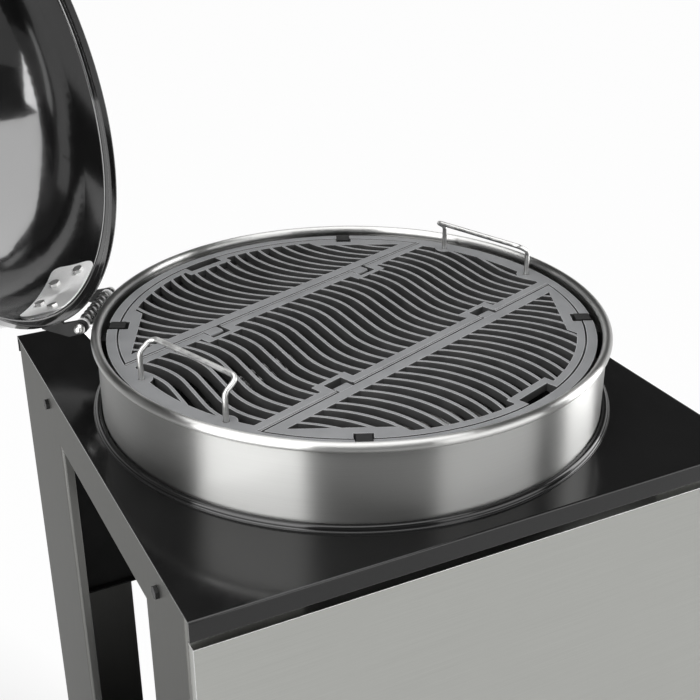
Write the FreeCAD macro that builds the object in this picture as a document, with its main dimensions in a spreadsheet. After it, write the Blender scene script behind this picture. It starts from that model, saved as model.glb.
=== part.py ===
import FreeCAD, Part
import math
import os

import Sketcher
from FreeCAD import Placement, Rotation, Vector

# Driving dimensions in millimetres, degrees and counts
SIZES = {
    # worktop
    "table_height": 815,
    "table_width": 646,
    "table_depth": 646,
    "table_sheet": 2,
    "skirt_height": 22,
    "opening_radius": 281,
    "bead_inner_radius": 292,
    "bead_height": 6,
    "bead_roll": 3.5,
    # stainless collar standing on the worktop
    "collar_radius": 291,
    "collar_wall": 1.2,
    "rim_height": 90,
    "rim_tube_radius": 5.5,
    "collar_flange": 12,
    # enamelled bowl hung in the opening
    "bowl_radius": 279,
    "bowl_wall": 2,
    "bowl_flange_radius": 291,
    "bowl_straight": 22,
    "bowl_shoulder_radius": 160,
    "bowl_shoulder_angle": 56,
    "vent_inner_radius": 40,
    "vent_outer_radius": 100,
    "vent_width": 24,
    "vent_count": 3,
    # lid
    "lid_open_angle": 108.4,
    "hinge_angle": 144.5,
    "hinge_offset": 13.5,
    "hinge_drop": 10.5,
    "lid_inset": 1,
    "lid_wall": 1.5,
    "lid_seat_gap": 1,
    "lid_straight": 30,
    "lid_shoulder_radius": 160,
    "lid_shoulder_angle": 56,
    "lid_skirt_gap": 1.5,
    "lid_skirt_drop": 11,
    "lid_rim_ease": 2.5,
    "lid_vent_radius": 9,
    "lid_vent_circle": 26,
    "damper_radius": 46,
    "damper_sheet": 1.5,
    "damper_gap": 0.5,
    "lid_handle_length": 170,
    "lid_handle_radius": 10,
    "lid_handle_ease": 3.3,
    "lid_post_radius": 8,
    "lid_handle_reach": 46,
    "lid_handle_spacing": 116,
    "lid_handle_rise": 42,
    "gauge_radius": 31,
    "gauge_depth": 14,
    "gauge_angle": 48,
    # hinge
    "hinge_rod_radius": 4,
    "hinge_cap_radius": 6.4,
    "hinge_ear_thickness": 4,
    "hinge_ear_radius": 8,
    "hinge_half_width": 46.5,
    "lid_ear_gap": 1,
    "spring_wire_radius": 2.2,
    "spring_mean_radius": 6.6,
    "spring_turns": 7,
    "bracket_sheet": 2.5,
    "bracket_spread": 20,
    "bracket_height": 44,
    "backing_height": 58,
    "backing_width": 128,
    "backing_shift": -24,
    "backing_corner": 12,
    "lower_nut_spacing": 94,
    "lower_nut_rise": 20,
    "upper_nut_spacing": 52,
    "upper_nut_rise": 46,
    "running_clearance": 0.06,
    "seat_gap": 0.3,
    # cooking grate
    "grate_drop": 4.5,
    "grate_turn": 20.5,
    "grate_radius": 280,
    "grate_depth": 14,
    "ring_width": 11.5,
    "flap_gap": 2,
    "flap_depth": 9,
    "ledge_width": 8,
    "band_half_width": 105.5,
    "rail_width": 13,
    "bar_pitch": 18.3,
    "bar_width": 4.2,
    "bars_each_side": 14,
    "flap_slot_count": 35,
    "wave_amplitude": 14.4,
    "wave_reach": 59,
    "wave_bend_radius": 105,
    "flap_bend_radius": 131,
    "flap_bend_centre": 197,
    "slot_margin": 9,
    "pad_chord": 245,
    "pad_start": 150,
    "tab_offset": 124,
    "tab_width": 20,
    "tab_radius": 4.5,
    "tab_reach": 9.5,
    "pocket_width": 26,
    "pocket_floor": 3,
    "pocket_wall": 12,
    "finger_width": 50,
    "finger_depth": 13.5,
    "clip_count": 4,
    "clip_width": 16,
    "clip_length": 16,
    "clip_proud": 1.5,
    "notch_gap": 2,
    "notch_depth": 7,
    "seam_ridge": 2.4,
    "seam_ridge_inset": 1,
    "seam_ridge_height": 0.8,
    "handle_rod_radius": 3,
    "handle_hole_gap": 0.6,
    "handle_offset": 255,
    "handle_half_span": 66,
    "handle_leg": 31,
    "handle_lean": 18,
    "handle_rise": 42,
    "handle_bend_radius": 9,
    "handle_nut_radius": 6,
    "handle_nut_height": 5,
    "support_width": 20,
    "support_sheet": 3,
    "support_reach": 27,
    "support_height": 34,
    # charcoal grate
    "coal_grate_drop": 133,
    "coal_grate_depth": 8,
    "coal_ring_width": 9,
    "coal_bar_width": 6,
    "coal_bar_pitch": 24,
    "coal_bar_count": 17,
    # ash sweeper, lever and pan
    "blade_outer_radius": 106,
    "blade_width": 34,
    "blade_sheet": 1.5,
    "blade_gap": 0.6,
    "sweeper_hub_radius": 16,
    "sweeper_hub_height": 12,
    "sweeper_shaft_radius": 6,
    "sweeper_shaft_drop": 16,
    "lever_length": 225,
    "lever_width": 18,
    "lever_sheet": 3,
    "knob_radius": 13,
    "knob_length": 40,
    "pan_radius": 140,
    "pan_depth": 62,
    "pan_wall": 1.5,
    "pan_flange": 12,
    "pan_draft": 22,
    "pan_drop": 24,
    "hook_count": 3,
    "hook_width": 22,
    "hook_sheet": 2,
    "hook_lip": 10,
    "hook_notch_gap": 5,
    # cart
    "side_sheet": 2,
    "apron_height": 66,
    "back_leg_width": 188,
    "front_leg_width": 122,
    "leg_return": 12.3,
    "corner_flange": 115,
    "fold_radius": 4,
    "leg_bottom": 100,
    "panel_fold": 12,
    "panel_sheet": 2,
    "panel_bottom": 393,
    "shadow_gap": 11,
    "shelf_level": 104,
    "shelf_lip": 24,
    "shelf_sheet": 2,
    "shelf_side_gap": 2,
    "collar_bolt_count": 6,
    "bolt_radius": 4,
    "bolt_head_radius": 7,
    "bolt_head_height": 4,
    "bolt_drop": 30,
    "bolt_inset": 44,
    # casters
    "caster_inset_x": 74,
    "caster_inset_y": 76,
    "caster_plate": 62,
    "caster_plate_sheet": 4,
    "kingpin_radius": 6,
    "kingpin_head_radius": 9,
    "kingpin_head_height": 4,
    "wheel_radius": 37.5,
    "wheel_rim_radius": 27,
    "wheel_width": 24,
    "wheel_axle_radius": 5,
    "caster_trail": 22,
    "fork_sheet": 3,
    "fork_gap": 2,
    "fork_crown_radius": 25,
    "fork_cheek_reach": 20,
    "fork_crown_height": 10,
    "fork_boss_radius": 12,
}

os.makedirs("parts", exist_ok=True)
doc = FreeCAD.newDocument("kettle_grill")
sheet = doc.addObject("Spreadsheet::Sheet", "Sizes")
for row, (alias, amount) in enumerate(SIZES.items(), start=1):
    sheet.set(f"A{row}", alias)
    sheet.set(f"B{row}", str(amount))
    sheet.setAlias(f"B{row}", alias)
doc.recompute()

X_AXIS = Vector(1, 0, 0)
Y_AXIS = Vector(0, 1, 0)
Z_AXIS = Vector(0, 0, 1)
QUARTER = 90
HALF = 180
FULL = 360
HEXAGON = 6
SPRING_SAMPLES = 8
SPRING_ARCS_APART = 5
BASE_PATHS = ("Placement.Base.x", "Placement.Base.y", "Placement.Base.z")


class Size:
    """A size that knows its number and the spreadsheet formula behind it."""

    def __init__(self, value, formula):
        self.value = float(value)
        self.formula = formula

    def __add__(self, other):
        other = sized(other)
        return Size(self.value + other.value, f"({self.formula} + {other.formula})")

    def __sub__(self, other):
        other = sized(other)
        return Size(self.value - other.value, f"({self.formula} - {other.formula})")

    def __mul__(self, other):
        other = sized(other)
        return Size(self.value * other.value, f"({self.formula} * {other.formula})")

    def __truediv__(self, other):
        other = sized(other)
        return Size(self.value / other.value, f"({self.formula} / {other.formula})")

    def __radd__(self, other):
        return sized(other) + self

    def __rsub__(self, other):
        return sized(other) - self

    def __rmul__(self, other):
        return sized(other) * self

    def __neg__(self):
        return Size(-self.value, f"(-{self.formula})")


class Dimensions:
    """The spreadsheet's cells, read by their names."""

    def __getattr__(self, alias):
        return Size(SIZES[alias], f"Sizes.{alias}")


def sized(amount):
    if isinstance(amount, Size):
        return amount
    return Size(amount, f"({amount})")


def sine(angle):
    return Size(math.sin(math.radians(angle.value)), f"sin({angle.formula} * 1 deg)")


def cosine(angle):
    return Size(math.cos(math.radians(angle.value)), f"cos({angle.formula} * 1 deg)")


def root(amount):
    return Size(math.sqrt(amount.value), f"sqrt({amount.formula})")


d = Dimensions()
nodes = []


def node(item, label):
    """Names a finished sub-part."""
    item.Label = label
    nodes.append(item)
    return item


def bind(item, path, amount):
    item.setExpression(path, sized(amount).formula)


def place(item, x=0, y=0, z=0, axis=Z_AXIS, angle=0):
    """Puts an object at a place and a turn that follow the spreadsheet."""
    x, y, z, angle = sized(x), sized(y), sized(z), sized(angle)
    item.Placement = Placement(Vector(x.value, y.value, z.value), Rotation(axis, angle.value))
    for path, amount in zip(BASE_PATHS, (x, y, z)):
        bind(item, path, amount)
    return item


def set_down(item, placement):
    """Puts an object at a placement of its own, in the place of a bound one."""
    for path in BASE_PATHS:
        item.setExpression(path, None)
    item.Placement = placement
    return item


def box(name, low, high):
    """A box between two corners."""
    item = doc.addObject("Part::Box", name)
    for path, a, b in zip(("Length", "Width", "Height"), low, high):
        bind(item, path, sized(b) - a)
    return place(item, *low)


def rod(name, radius, length, base, axis=Z_AXIS):
    """A round bar that starts at a base point and runs along an axis."""
    item = doc.addObject("Part::Cylinder", name)
    bind(item, "Radius", radius)
    bind(item, "Height", length)
    place(item, *base)
    item.Placement = Placement(item.Placement.Base, Rotation(Z_AXIS, axis))
    return item


def hexagon(name, radius, height, base, axis=Z_AXIS):
    """A hexagonal nut or bolt head, by its corner radius."""
    item = doc.addObject("Part::Prism", name)
    item.Polygon = HEXAGON
    bind(item, "Circumradius", radius)
    bind(item, "Height", height)
    place(item, *base)
    item.Placement = Placement(item.Placement.Base, Rotation(Z_AXIS, axis))
    return item


def tube(name, outer, inner, height, z):
    """A ring of rectangular section round the kettle's axis."""
    full = rod(f"{name}_outer", outer, height, (0, 0, z))
    hollow = rod(f"{name}_inner", inner, height, (0, 0, z))
    return cut(name, full, [hollow])


def fuse(name, items):
    item = doc.addObject("Part::MultiFuse", name)
    item.Shapes = items
    return item


def cut(name, base, tools):
    item = doc.addObject("Part::Cut", name)
    item.Base = base
    item.Tool = tools[0] if len(tools) == 1 else fuse(f"{name}_tools", tools)
    return item


def common(name, items):
    item = doc.addObject("Part::MultiCommon", name)
    item.Shapes = items
    return item


def group(name, items):
    """Separate like solids in one node."""
    item = doc.addObject("Part::Compound", name)
    item.Links = items
    return item


def around(name, source, count, first=0):
    """Copies of a piece spaced evenly round the kettle's axis."""
    copies = []
    for index in range(count):
        copy = doc.addObject("Part::Compound", f"{name}_{index}")
        copy.Links = [source]
        copy.Placement = Placement(Vector(), Rotation(Z_AXIS, first + FULL * index / count))
        copies.append(copy)
    return copies


def body(name):
    return doc.addObject("PartDesign::Body", name)


def plane(owner, role):
    for feature in owner.Origin.OriginFeatures:
        if feature.Role == role:
            return feature
    raise ValueError(role)


def corner(x, y, radius=None, turn=0):
    """A profile corner; with a radius, an arc leads on from it, turning left (1) or right (-1)."""
    return sized(x), sized(y), radius, turn


def arc_centre(start, end, radius, turn):
    chord = end - start
    middle = (start + end) * 0.5
    side = Vector(-chord.y, chord.x, 0).normalize()
    rise = math.sqrt(max(radius ** 2 - (chord.Length / 2) ** 2, 0))
    return middle + side * (turn * rise)


def bind_radius(sketch, edge, radius):
    index = sketch.addConstraint(Sketcher.Constraint("Radius", edge, radius.value))
    bind(sketch, f"Constraints[{index}]", radius)


def outline(sketch, corners):
    """Draws a closed profile and binds each of its corners to the spreadsheet."""
    edges = []
    for index, (x, y, radius, turn) in enumerate(corners):
        after = corners[(index + 1) % len(corners)]
        start = Vector(x.value, y.value, 0)
        end = Vector(after[0].value, after[1].value, 0)
        if radius is None:
            edges.append((sketch.addGeometry(Part.LineSegment(start, end)), 1, 2))
            continue
        size = sized(radius)
        centre = arc_centre(start, end, size.value, turn)
        circle = Part.Circle(centre, Z_AXIS, size.value)
        first, last = (start, end) if turn > 0 else (end, start)
        angles = [math.atan2(p.y - centre.y, p.x - centre.x) for p in (first, last)]
        arc = sketch.addGeometry(Part.ArcOfCircle(circle, *angles))
        edges.append((arc, 1, 2) if turn > 0 else (arc, 2, 1))
        bind_radius(sketch, arc, size)
    for index, (edge, head, tail) in enumerate(edges):
        following = edges[(index + 1) % len(edges)]
        sketch.addConstraint(Sketcher.Constraint("Coincident", edge, tail, following[0], following[1]))
    for (x, y, _, _), (edge, head, _) in zip(corners, edges):
        for kind, amount, axis in (("DistanceX", x, -2), ("DistanceY", y, -1)):
            if amount.value == 0:
                sketch.addConstraint(Sketcher.Constraint("PointOnObject", edge, head, axis))
                continue
            index = sketch.addConstraint(Sketcher.Constraint(kind, -1, 1, edge, head, amount.value))
            bind(sketch, f"Constraints[{index}]", amount)


def sketch_on(owner, role, name, profiles, offset=0):
    """A sketch on one of a body's own planes, moved along the plane's normal."""
    sketch = owner.newObject("Sketcher::SketchObject", name)
    sketch.AttachmentSupport = (plane(owner, role), [""])
    sketch.MapMode = "FlatFace"
    offset = sized(offset)
    sketch.AttachmentOffset = Placement(Vector(0, 0, offset.value), Rotation())
    bind(sketch, "AttachmentOffset.Base.z", offset)
    for corners in profiles:
        outline(sketch, corners)
    return sketch


def revolve(owner, name, corners):
    """Turns a profile, drawn as radius and height, round the vertical axis."""
    sketch = sketch_on(owner, "XZ_Plane", f"{name}_profile", [corners])
    feature = owner.newObject("PartDesign::Revolution", name)
    feature.Profile = sketch
    feature.ReferenceAxis = (sketch, ["V_Axis"])
    feature.Angle = FULL
    return feature


def pad(owner, name, role, profiles, length, offset=0):
    """Pads a profile along its plane's normal."""
    sketch = sketch_on(owner, role, f"{name}_profile", profiles, offset)
    feature = owner.newObject("PartDesign::Pad", name)
    feature.Profile = sketch
    bind(feature, "Length", length)
    return feature


def rectangle(low_x, low_y, high_x, high_y):
    return [corner(low_x, low_y), corner(high_x, low_y), corner(high_x, high_y), corner(low_x, high_y)]


def rounded_rectangle(low_x, low_y, high_x, high_y, radius):
    return [
        corner(low_x + radius, low_y),
        corner(high_x - radius, low_y, radius, 1),
        corner(high_x, low_y + radius),
        corner(high_x, high_y - radius, radius, 1),
        corner(high_x - radius, high_y),
        corner(low_x + radius, high_y, radius, 1),
        corner(low_x, high_y - radius),
        corner(low_x, low_y + radius, radius, 1),
    ]


# Levels and radii that several pieces share
table_top = d.table_height
table_under = table_top - d.table_sheet
rim_centre = table_top + d.rim_height
rim_top = rim_centre + d.rim_tube_radius
bowl_flange_top = table_top + d.bowl_wall
collar_inner = d.collar_radius - d.collar_wall
grate_top = rim_centre - d.grate_drop
grate_under = grate_top - d.grate_depth
rim_outside = d.collar_radius + d.rim_tube_radius
hinge_reach = rim_outside + d.hinge_offset
hinge_level = rim_centre - d.hinge_drop
lid_radius = d.collar_radius - d.lid_inset
lid_seat = rim_top + d.lid_seat_gap
lid_skirt_inner = rim_outside + d.lid_skirt_gap
lid_skirt_outer = lid_skirt_inner + d.lid_wall
lid_plate_low = lid_seat + d.lid_wall + d.seat_gap
lid_plate_height = d.lid_straight - d.lid_wall - d.seat_gap
half_width = d.table_width / 2
half_depth = d.table_depth / 2


def turned_about_kettle(item, angle):
    item.Placement = Placement(Vector(), Rotation(Z_AXIS, sized(angle).value)).multiply(item.Placement)
    return item


# Worktop: a sheet folded down at the front and back, with a pressed bead round the opening
def make_worktop():
    top = body("worktop")
    fold = d.table_sheet
    low = table_top - d.skirt_height
    section = [
        corner(-half_depth, low),
        corner(-half_depth + fold, low),
        corner(-half_depth + fold, table_under),
        corner(half_depth - fold, table_under),
        corner(half_depth - fold, low),
        corner(half_depth, low),
        corner(half_depth, table_under, fold, 1),
        corner(half_depth - fold, table_top),
        corner(-half_depth + fold, table_top, fold, 1),
        corner(-half_depth, table_under),
    ]
    pad(top, "worktop_sheet", "YZ_Plane", [section], d.table_width, -half_width)
    crest = table_top + d.bead_height
    inner, roll = d.bead_inner_radius, d.bead_roll
    brow = inner + roll * 2
    cove = d.bead_height - roll
    bead = [
        corner(inner, table_under),
        corner(inner, crest - roll, roll, -1),
        corner(inner + roll, crest, roll, -1),
        corner(brow, crest - roll, cove, 1),
        corner(brow + cove, table_top),
        corner(brow + cove, table_under),
    ]
    revolve(top, "pressed_bead", bead)
    doc.recompute()
    sketch = sketch_on(top, "XY_Plane", "bowl_opening_profile", [])
    circle = sketch.addGeometry(Part.Circle(Vector(), Z_AXIS, d.opening_radius.value))
    sketch.addConstraint(Sketcher.Constraint("Coincident", circle, 3, -1, 1))
    bind_radius(sketch, circle, d.opening_radius)
    pocket = top.newObject("PartDesign::Pocket", "bowl_opening")
    pocket.Profile = sketch
    pocket.Type = 1
    pocket.Midplane = True
    return node(top, "worktop")


# Collar: a rolled stainless band with a tubular rim and an inward foot
def make_collar():
    wall = tube("collar_wall", d.collar_radius, collar_inner, d.rim_height - d.bowl_wall, bowl_flange_top)
    foot_inner = d.collar_radius - d.collar_flange
    foot = tube("collar_foot", d.collar_radius, foot_inner, d.collar_wall, bowl_flange_top)
    rim = doc.addObject("Part::Torus", "collar_rim")
    bind(rim, "Radius1", d.collar_radius)
    bind(rim, "Radius2", d.rim_tube_radius)
    place(rim, 0, 0, rim_centre)
    return node(fuse("collar", [wall, foot, rim]), "collar")


def dome(radius, start, straight, shoulder, angle, sign):
    """Corners of a kettle half, from its mouth to its pole: straight wall, shoulder arc, crown arc."""
    turn_level = start + sign * straight
    shoulder_centre = radius - shoulder
    join_radius = shoulder_centre + shoulder * cosine(angle)
    join_level = turn_level + sign * (shoulder * sine(angle))
    crown = join_radius / cosine(angle)
    pole = join_level + sign * (crown - crown * sine(angle))
    return [
        (radius, start, None),
        (radius, turn_level, shoulder),
        (join_radius, join_level, crown),
        (sized(0), pole, None),
    ]


def dome_shell(radius, start, straight, shoulder, angle, sign, wall):
    """The closed profile of a kettle half of even thickness, outside first."""
    outer = dome(radius, start, straight, shoulder, angle, sign)
    inner = dome(radius - wall, start, straight, shoulder - wall, angle, sign)
    corners = [corner(x, y, arc, sign) for x, y, arc in outer]
    for index in range(len(inner) - 1, -1, -1):
        x, y, _ = inner[index]
        arc = inner[index - 1][2] if index > 0 else None
        corners.append(corner(x, y, arc, -sign))
    return corners


bowl_start = bowl_flange_top
bowl_shape = (d.bowl_radius, bowl_start, d.bowl_straight, d.bowl_shoulder_radius, d.bowl_shoulder_angle, -1)
bowl_pole = dome(*bowl_shape)[-1][1]
bowl_floor = bowl_pole + d.bowl_wall


# Bowl: deep-drawn enamelled steel with a flange, air slots and a shaft hole in its floor
def make_bowl():
    shell = body("bowl_shell")
    revolve(shell, "bowl_turned", dome_shell(*bowl_shape, d.bowl_wall))
    flange = tube("bowl_flange", d.bowl_flange_radius, d.bowl_radius - d.bowl_wall, d.bowl_wall, table_top)
    slot_low = bowl_pole - d.bowl_shoulder_radius
    slot_high = bowl_pole + d.bowl_shoulder_radius / 2
    half = d.vent_width / 2
    slot_height = slot_high - slot_low
    near, far = (d.vent_inner_radius, -half, slot_low), (d.vent_outer_radius, half, slot_high)
    slot_block = box("vent_block", near, far)
    ends = [
        rod(f"vent_end_{index}", half, slot_height, (reach, 0, slot_low))
        for index, reach in enumerate((d.vent_inner_radius, d.vent_outer_radius))
    ]
    vents = around("vent", fuse("vent_slot", [slot_block, *ends]), int(d.vent_count.value))
    bore = d.sweeper_shaft_radius + d.running_clearance
    shaft_hole = rod("shaft_hole", bore, slot_height, (0, 0, slot_low))
    return node(cut("bowl", fuse("bowl_blank", [shell, flange]), [*vents, shaft_hole]), "bowl")


# Placement of everything on the lid: swung open about the hinge rod, then turned to the hinge's place
def lid_placement():
    axis_point = Vector(hinge_reach.value, 0, hinge_level.value)
    swing = Placement(axis_point, Rotation(Y_AXIS, d.lid_open_angle.value))
    back = Placement(-axis_point, Rotation())
    turn = Placement(Vector(), Rotation(Z_AXIS, d.hinge_angle.value))
    return turn.multiply(swing).multiply(back)


def on_lid(item, label):
    item.Placement = lid_placement().multiply(item.Placement)
    return node(item, label)


lid_shape = (lid_radius, lid_seat, d.lid_straight, d.lid_shoulder_radius, d.lid_shoulder_angle, 1)
lid_pole = dome(*lid_shape)[-1][1]


def make_lid_shell():
    """The domed shell, with a rim that steps out over the collar and hangs down round it."""
    shell = body("lid_turned")
    revolve(shell, "lid_dome", dome_shell(*lid_shape, d.lid_wall))
    rim = body("lid_rim")
    inside = lid_radius - d.lid_wall
    skirt_low = lid_seat - d.lid_skirt_drop
    revolve(rim, "lid_rim_section", [
        corner(inside, lid_seat),
        corner(lid_skirt_inner, lid_seat),
        corner(lid_skirt_inner, skirt_low),
        corner(lid_skirt_outer, skirt_low),
        corner(lid_skirt_outer, lid_seat),
        corner(lid_skirt_inner, lid_seat + d.lid_wall),
        corner(inside, lid_seat + d.lid_wall),
    ])
    soft = d.lid_rim_ease
    ease = body("lid_rim_ease")
    revolve(ease, "lid_rim_ease_section", [
        corner(inside, lid_seat),
        corner(inside + soft, lid_seat, soft, -1),
        corner(inside, lid_seat + soft),
    ])
    vent_low = lid_pole - d.lid_shoulder_radius / 2
    hole = rod("lid_vent", d.lid_vent_radius, d.lid_shoulder_radius, (d.lid_vent_circle, 0, vent_low))
    holes = around("lid_vents", hole, int(d.vent_count.value))
    reach = d.lid_handle_reach
    gauge_hole = rod("gauge_hole", d.bolt_radius / 2 + d.seat_gap, reach * 2, (0, 0, 0))
    inwards = Placement(Vector(0, 0, -reach.value), Rotation())
    set_down(gauge_hole, gauge_spot().multiply(inwards))
    blank = fuse("lid_blank", [shell, rim])
    return on_lid(cut("lid_shell", blank, [ease, *holes, gauge_hole]), "lid_shell")


def gauge_spot():
    """Where the thermometer stands on the closed lid's shoulder, square to the surface."""
    angle = d.gauge_angle
    reach = d.lid_shoulder_radius
    x = -(lid_radius - reach + reach * cosine(angle))
    z = lid_seat + d.lid_straight + reach * sine(angle)
    normal = Vector(-cosine(angle).value, 0, sine(angle).value)
    return Placement(Vector(x.value, 0, z.value), Rotation(Z_AXIS, normal))


def make_lid_damper():
    """A turning disc dished like the crown, with the same holes, a thumb tab and a centre rivet."""
    gap, skin = d.damper_gap, d.damper_sheet
    grown = d.lid_shoulder_radius + gap + skin
    skin_shape = (lid_radius + gap + skin, lid_seat, d.lid_straight, grown, d.lid_shoulder_angle, 1)
    shell = body("damper_turned")
    revolve(shell, "damper_dome", dome_shell(*skin_shape, skin))
    low = lid_pole - d.lid_shoulder_radius / 2
    disc = rod("damper_disc", d.damper_radius, d.lid_shoulder_radius, (0, 0, low))
    tab_half = d.lid_vent_radius
    tab_end = (d.damper_radius + d.lid_vent_radius, tab_half, lid_pole + d.gauge_radius)
    tab = box("damper_tab", (0, -tab_half, low), tab_end)
    blank = common("damper_blank", [shell, fuse("damper_plan", [disc, tab])])
    hole = rod("damper_hole", d.lid_vent_radius, d.lid_shoulder_radius, (d.lid_vent_circle, 0, low))
    holes = around("damper_holes", hole, int(d.vent_count.value), HALF / int(d.vent_count.value))
    pivot = rod("damper_pivot", d.bolt_radius + d.running_clearance, d.lid_shoulder_radius, (0, 0, low))
    on_lid(cut("lid_damper", blank, [*holes, pivot]), "lid_damper")
    stem = rod("rivet_stem", d.bolt_radius, gap + skin + gap, (0, 0, lid_pole))
    head = rod("rivet_head", d.bolt_head_radius, d.damper_sheet, (0, 0, lid_pole + gap + skin + gap))
    on_lid(fuse("damper_rivet", [stem, head]), "damper_rivet")


def make_lid_handle():
    """A bar on two stand-offs, opposite the hinge."""
    level = lid_seat + d.lid_handle_rise
    wall = -lid_radius
    bar_x = wall - d.lid_handle_reach
    half = d.lid_handle_length / 2
    bar = rod("handle_bar", d.lid_handle_radius, d.lid_handle_length, (bar_x, -half, level), Y_AXIS)
    eased = doc.addObject("Part::Fillet", "lid_handle")
    doc.recompute()
    eased.Base = bar
    ease = d.lid_handle_ease.value
    edges = enumerate(bar.Shape.Edges, start=1)
    rims = [index for index, edge in edges if isinstance(edge.Curve, Part.Circle)]
    eased.Edges = [(index, ease, ease) for index in rims]
    on_lid(eased, "lid_handle")
    posts = []
    for index, side in enumerate((-1, 1)):
        y = d.lid_handle_spacing / 2 * side
        start = bar_x + d.lid_handle_radius - d.bolt_radius
        length = wall - start + d.lid_straight
        posts.append(rod(f"post_{index}", d.lid_post_radius, length, (start, y, level), X_AXIS))
    shell = body("post_limit")
    gap = d.seat_gap / 10
    shoulder = d.lid_shoulder_radius + gap
    profile = dome(lid_radius + gap, lid_seat, d.lid_straight, shoulder, d.lid_shoulder_angle, 1)
    corners = [corner(x, y, arc, 1) for x, y, arc in profile]
    revolve(shell, "post_limit_dome", [*corners, corner(0, lid_seat)])
    bar_copy = rod("handle_bore", d.lid_handle_radius, d.lid_handle_length, (bar_x, -half, level), Y_AXIS)
    on_lid(cut("lid_handle_posts", group("post_pair", posts), [shell, bar_copy]), "lid_handle_posts")


def make_lid_gauge():
    """A dial thermometer let into the lid above the handle."""
    foot = d.gauge_depth / 4
    case = rod("gauge_case", d.gauge_radius, d.gauge_depth, (0, 0, foot))
    face = foot + d.gauge_depth * 3 / 4
    recess = rod("gauge_recess", d.gauge_radius - d.lid_wall, d.gauge_depth / 4, (0, 0, face))
    neck = rod("gauge_neck", d.gauge_radius / 2, foot, (0, 0, 0))
    stem = rod("gauge_stem", d.bolt_radius / 2, d.lid_handle_reach, (0, 0, -d.lid_handle_reach))
    gauge = cut("lid_gauge", fuse("gauge_blank", [case, neck, stem]), [recess])
    spot = gauge_spot()
    gauge.Placement = lid_placement().multiply(spot)
    node(gauge, "lid_gauge")
    glass_radius = d.gauge_radius - d.lid_wall - d.seat_gap / 10
    glass = rod("gauge_glass", glass_radius, d.gauge_depth / 8, (0, 0, 0))
    on_face = Placement(Vector(0, 0, face.value), Rotation())
    set_down(glass, lid_placement().multiply(spot).multiply(on_face))
    node(glass, "gauge_glass")


def curved_plate(name, inner, outer, spread, low, height):
    """A plate rolled to the kettle's curve, centred on the hinge's direction."""
    pieces = []
    for part_name, radius in (("back", outer), ("front", inner)):
        piece = doc.addObject("Part::Cylinder", f"{name}_{part_name}")
        bind(piece, "Radius", radius)
        bind(piece, "Height", height)
        bind(piece, "Angle", spread)
        place(piece, 0, 0, low)
        piece.Placement = Placement(piece.Placement.Base, Rotation(Z_AXIS, -sized(spread).value / 2))
        pieces.append(piece)
    return cut(name, pieces[0], [pieces[1]])


def ear(name, y, thickness, corners, hole_radius):
    """A flat hinge ear in the swing plane, rounded about the rod and bored for it."""
    flat = body(f"{name}_flat")
    pad(flat, f"{name}_pad", "XZ_Plane", [corners], thickness, -(y + thickness))
    eye = rod(f"{name}_eye", d.hinge_ear_radius, thickness, (hinge_reach, y, hinge_level), Y_AXIS)
    bore = rod(f"{name}_bore", hole_radius, thickness, (hinge_reach, y, hinge_level), Y_AXIS)
    return cut(name, fuse(f"{name}_blank", [flat, eye]), [bore])


def make_collar_bracket():
    """A plate rolled to the collar with two ears for the rod."""
    thick, eye = d.hinge_ear_thickness, d.hinge_ear_radius
    plate_inner = d.collar_radius + d.seat_gap / 10
    plate_outer = plate_inner + d.bracket_sheet
    plate_high = rim_centre - d.rim_tube_radius - d.seat_gap
    plate_low = plate_high - d.bracket_height
    plate = curved_plate(
        "bracket_plate", plate_inner, plate_outer, d.bracket_spread, plate_low, d.bracket_height
    )
    root_x = d.collar_radius - thick / 4
    wing = [
        corner(root_x, plate_high),
        corner(root_x, plate_low + eye),
        corner(hinge_reach + eye, hinge_level),
        corner(hinge_reach - eye, hinge_level),
    ]
    bore = d.hinge_rod_radius + d.running_clearance
    ears = []
    for index, side in enumerate((-1, 1)):
        low_y = (d.hinge_half_width - thick) * side - thick / 2
        ears.append(ear(f"bracket_ear_{index}", low_y, thick, wing, bore))
    within = rod("bracket_clear", plate_inner, d.table_height * 2, (0, 0, 0))
    bracket = cut("hinge_bracket", fuse("bracket_blank", [plate, *ears]), [within])
    node(turned_about_kettle(bracket, d.hinge_angle), "hinge_bracket")


lid_ear_y = d.hinge_half_width - d.hinge_ear_thickness / 2 + d.lid_ear_gap


def make_hinge_rod():
    """The rod through both pairs of ears, with a cap nut on each end."""
    half = lid_ear_y + d.hinge_ear_thickness + d.lid_ear_gap
    spindle = rod("spindle", d.hinge_rod_radius, half * 2, (hinge_reach, -half, hinge_level), Y_AXIS)
    caps = []
    for index, side in enumerate((-1, 1)):
        cap = doc.addObject("Part::Sphere", f"cap_{index}")
        bind(cap, "Radius", d.hinge_cap_radius)
        place(cap, hinge_reach, (half + d.hinge_rod_radius) * side, hinge_level)
        caps.append(cap)
    node(turned_about_kettle(fuse("hinge_rod", [spindle, *caps]), d.hinge_angle), "hinge_rod")


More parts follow.
